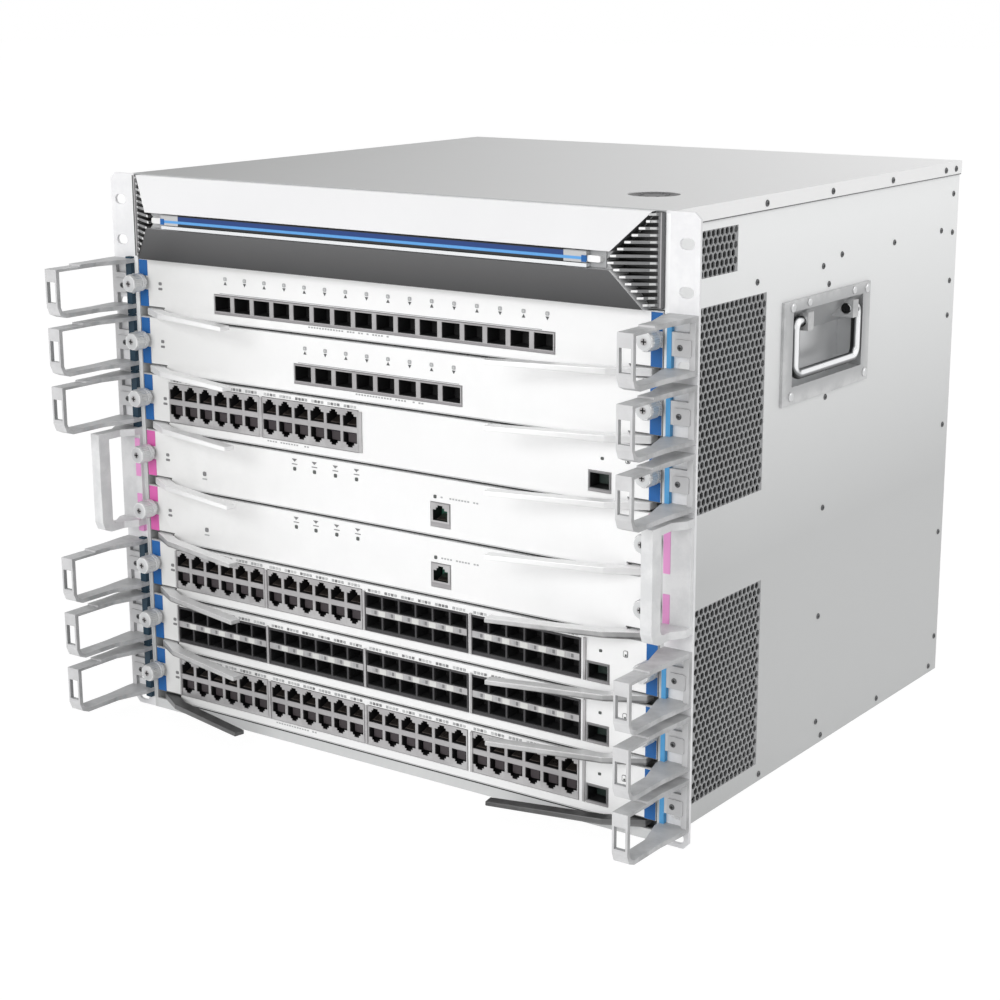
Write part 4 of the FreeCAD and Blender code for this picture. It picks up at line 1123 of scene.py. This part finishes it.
for name, obj in frame["nodes"].items():
    slot_name = next(s["material_slot"] for s in frame["record"]["subparts"] if s["node"] == name)
    look = LOOKS["cover_paint" if name == "top_cover" else slot_name]
    if not obj.material_slots:
        obj.data.materials.append(look)
    for slot in obj.material_slots:
        slot.link = "OBJECT"
        slot.material = look
    for ends, width, segments, angle in BEVELS:
        if name.endswith(ends):
            soften(obj, width, segments, angle)

# ------------------------ light

scene = bpy.context.scene
scene.view_settings.view_transform = "Standard"
WHITE = (1, 1, 1, 1)


def studio_world():
    """Soft white light; what is seen directly, or in gloss, is pure white."""
    world = bpy.data.worlds.new("studio")
    scene.world = world
    t = Tree(world)
    soft = t.nodes["Background"]
    soft.inputs["Color"].default_value = WHITE
    soft.inputs["Strength"].default_value = 0.5
    white = t.add("ShaderNodeBackground")
    white.inputs["Color"].default_value = WHITE
    white.inputs["Strength"].default_value = 1.0
    t.mix_shaders(t.seen_directly(), soft, white, "World Output")


def put(name, data, place, target):
    """A new object that faces a target, places in metres."""
    obj = bpy.data.objects.new(name, data)
    obj.location = place
    obj.rotation_mode = "QUATERNION"
    obj.rotation_quaternion = (Vector(target) - Vector(place)).to_track_quat("-Z", "Y")
    scene.collection.objects.link(obj)
    return obj


def area(name, place, target, size, power):
    lamp_data = bpy.data.lights.new(name, "AREA")
    lamp_data.shape = "RECTANGLE"
    lamp_data.size, lamp_data.size_y = size
    lamp_data.energy = power
    put(name, lamp_data, place, target)


def flag(name, place, target, size):
    """Dark card that only shows in polished metal."""
    mesh = bpy.data.meshes.new(name)
    w, h = size
    mesh.from_pydata([(x, y, 0) for x, y in rect(-w / 2, w / 2, -h / 2, h / 2)], [], [(0, 1, 2, 3)])
    mesh.materials.append(LOOKS["black_frame"])
    card = put(name, mesh, place, target)
    card.visible_camera = False
    card.visible_diffuse = False
    card.visible_shadow = False
    card.visible_transmission = False


studio_world()
area("key", (0.1, -3.2, 1.3), (0, 0, 0.2), (2.4, 1.8), 56)
area("side", (2.4, 0.7, 1.7), (0.2, 0, 0.25), (1.2, 1.2), 17)
flag("flag_side", (2.6, -1.2, 0.1), (0.2, 0, 0.2), (0.5, 1.6))
flag("flag_high", (0.9, -1.4, 2.2), (0, 0, 0.3), (0.5, 1.4))
flag("flag_low", (0.4, -2.4, 0.05), (0, 0, 0.2), (2.0, 0.3))

# ------------------------ floor

def floor():
    """Pale floor that glows to white where it is seen, and keeps a faint shadow."""
    mesh = bpy.data.meshes.new("floor")
    bm = bmesh.new()
    bmesh.ops.create_grid(bm, x_segments=8, y_segments=8, size=14)
    bm.to_mesh(mesh)
    bm.free()
    obj = bpy.data.objects.new("floor", mesh)
    obj.location = (0, 0, -0.0005)
    scene.collection.objects.link(obj)
    look = bpy.data.materials.new("floor_look")
    mesh.materials.append(look)
    t = Tree(look)
    pale = t.nodes["Principled BSDF"]
    pale.inputs["Base Color"].default_value = (0.97, 0.97, 0.97, 1)
    pale.inputs["Roughness"].default_value = 0.8
    glow = t.add("ShaderNodeEmission")
    glow.inputs["Color"].default_value = WHITE
    glow.inputs["Strength"].default_value = 1.08
    t.mix_shaders(t.math("MULTIPLY", t.seen_directly(), 0.86), pale, glow, "Material Output")


floor()

# ------------------------ camera

# from the photograph: place in metres, turn from the front, downward tilt and roll in degrees, lens in mm
CAMERA = (0.84234, -1.24691, 0.52704)
YAW, TILT, ROLL = (math.radians(angle) for angle in (35.63, 14.14, -0.23))
LENS = 74.25


def camera():
    data = bpy.data.cameras.new("camera")
    data.sensor_width = 36
    data.lens = LENS
    data.clip_end = 100
    level = Vector((math.cos(YAW), math.sin(YAW), 0))
    ahead = Vector((-math.sin(YAW) * math.cos(TILT), math.cos(YAW) * math.cos(TILT), -math.sin(TILT)))
    upward = level.cross(ahead)
    right = math.cos(ROLL) * level + math.sin(ROLL) * upward
    up = -math.sin(ROLL) * level + math.cos(ROLL) * upward
    obj = bpy.data.objects.new("camera", data)
    lines = [(right[k], up[k], -ahead[k], CAMERA[k]) for k in range(3)]
    obj.matrix_world = Matrix(lines + [(0, 0, 0, 1)])
    scene.collection.objects.link(obj)
    scene.camera = obj


camera()
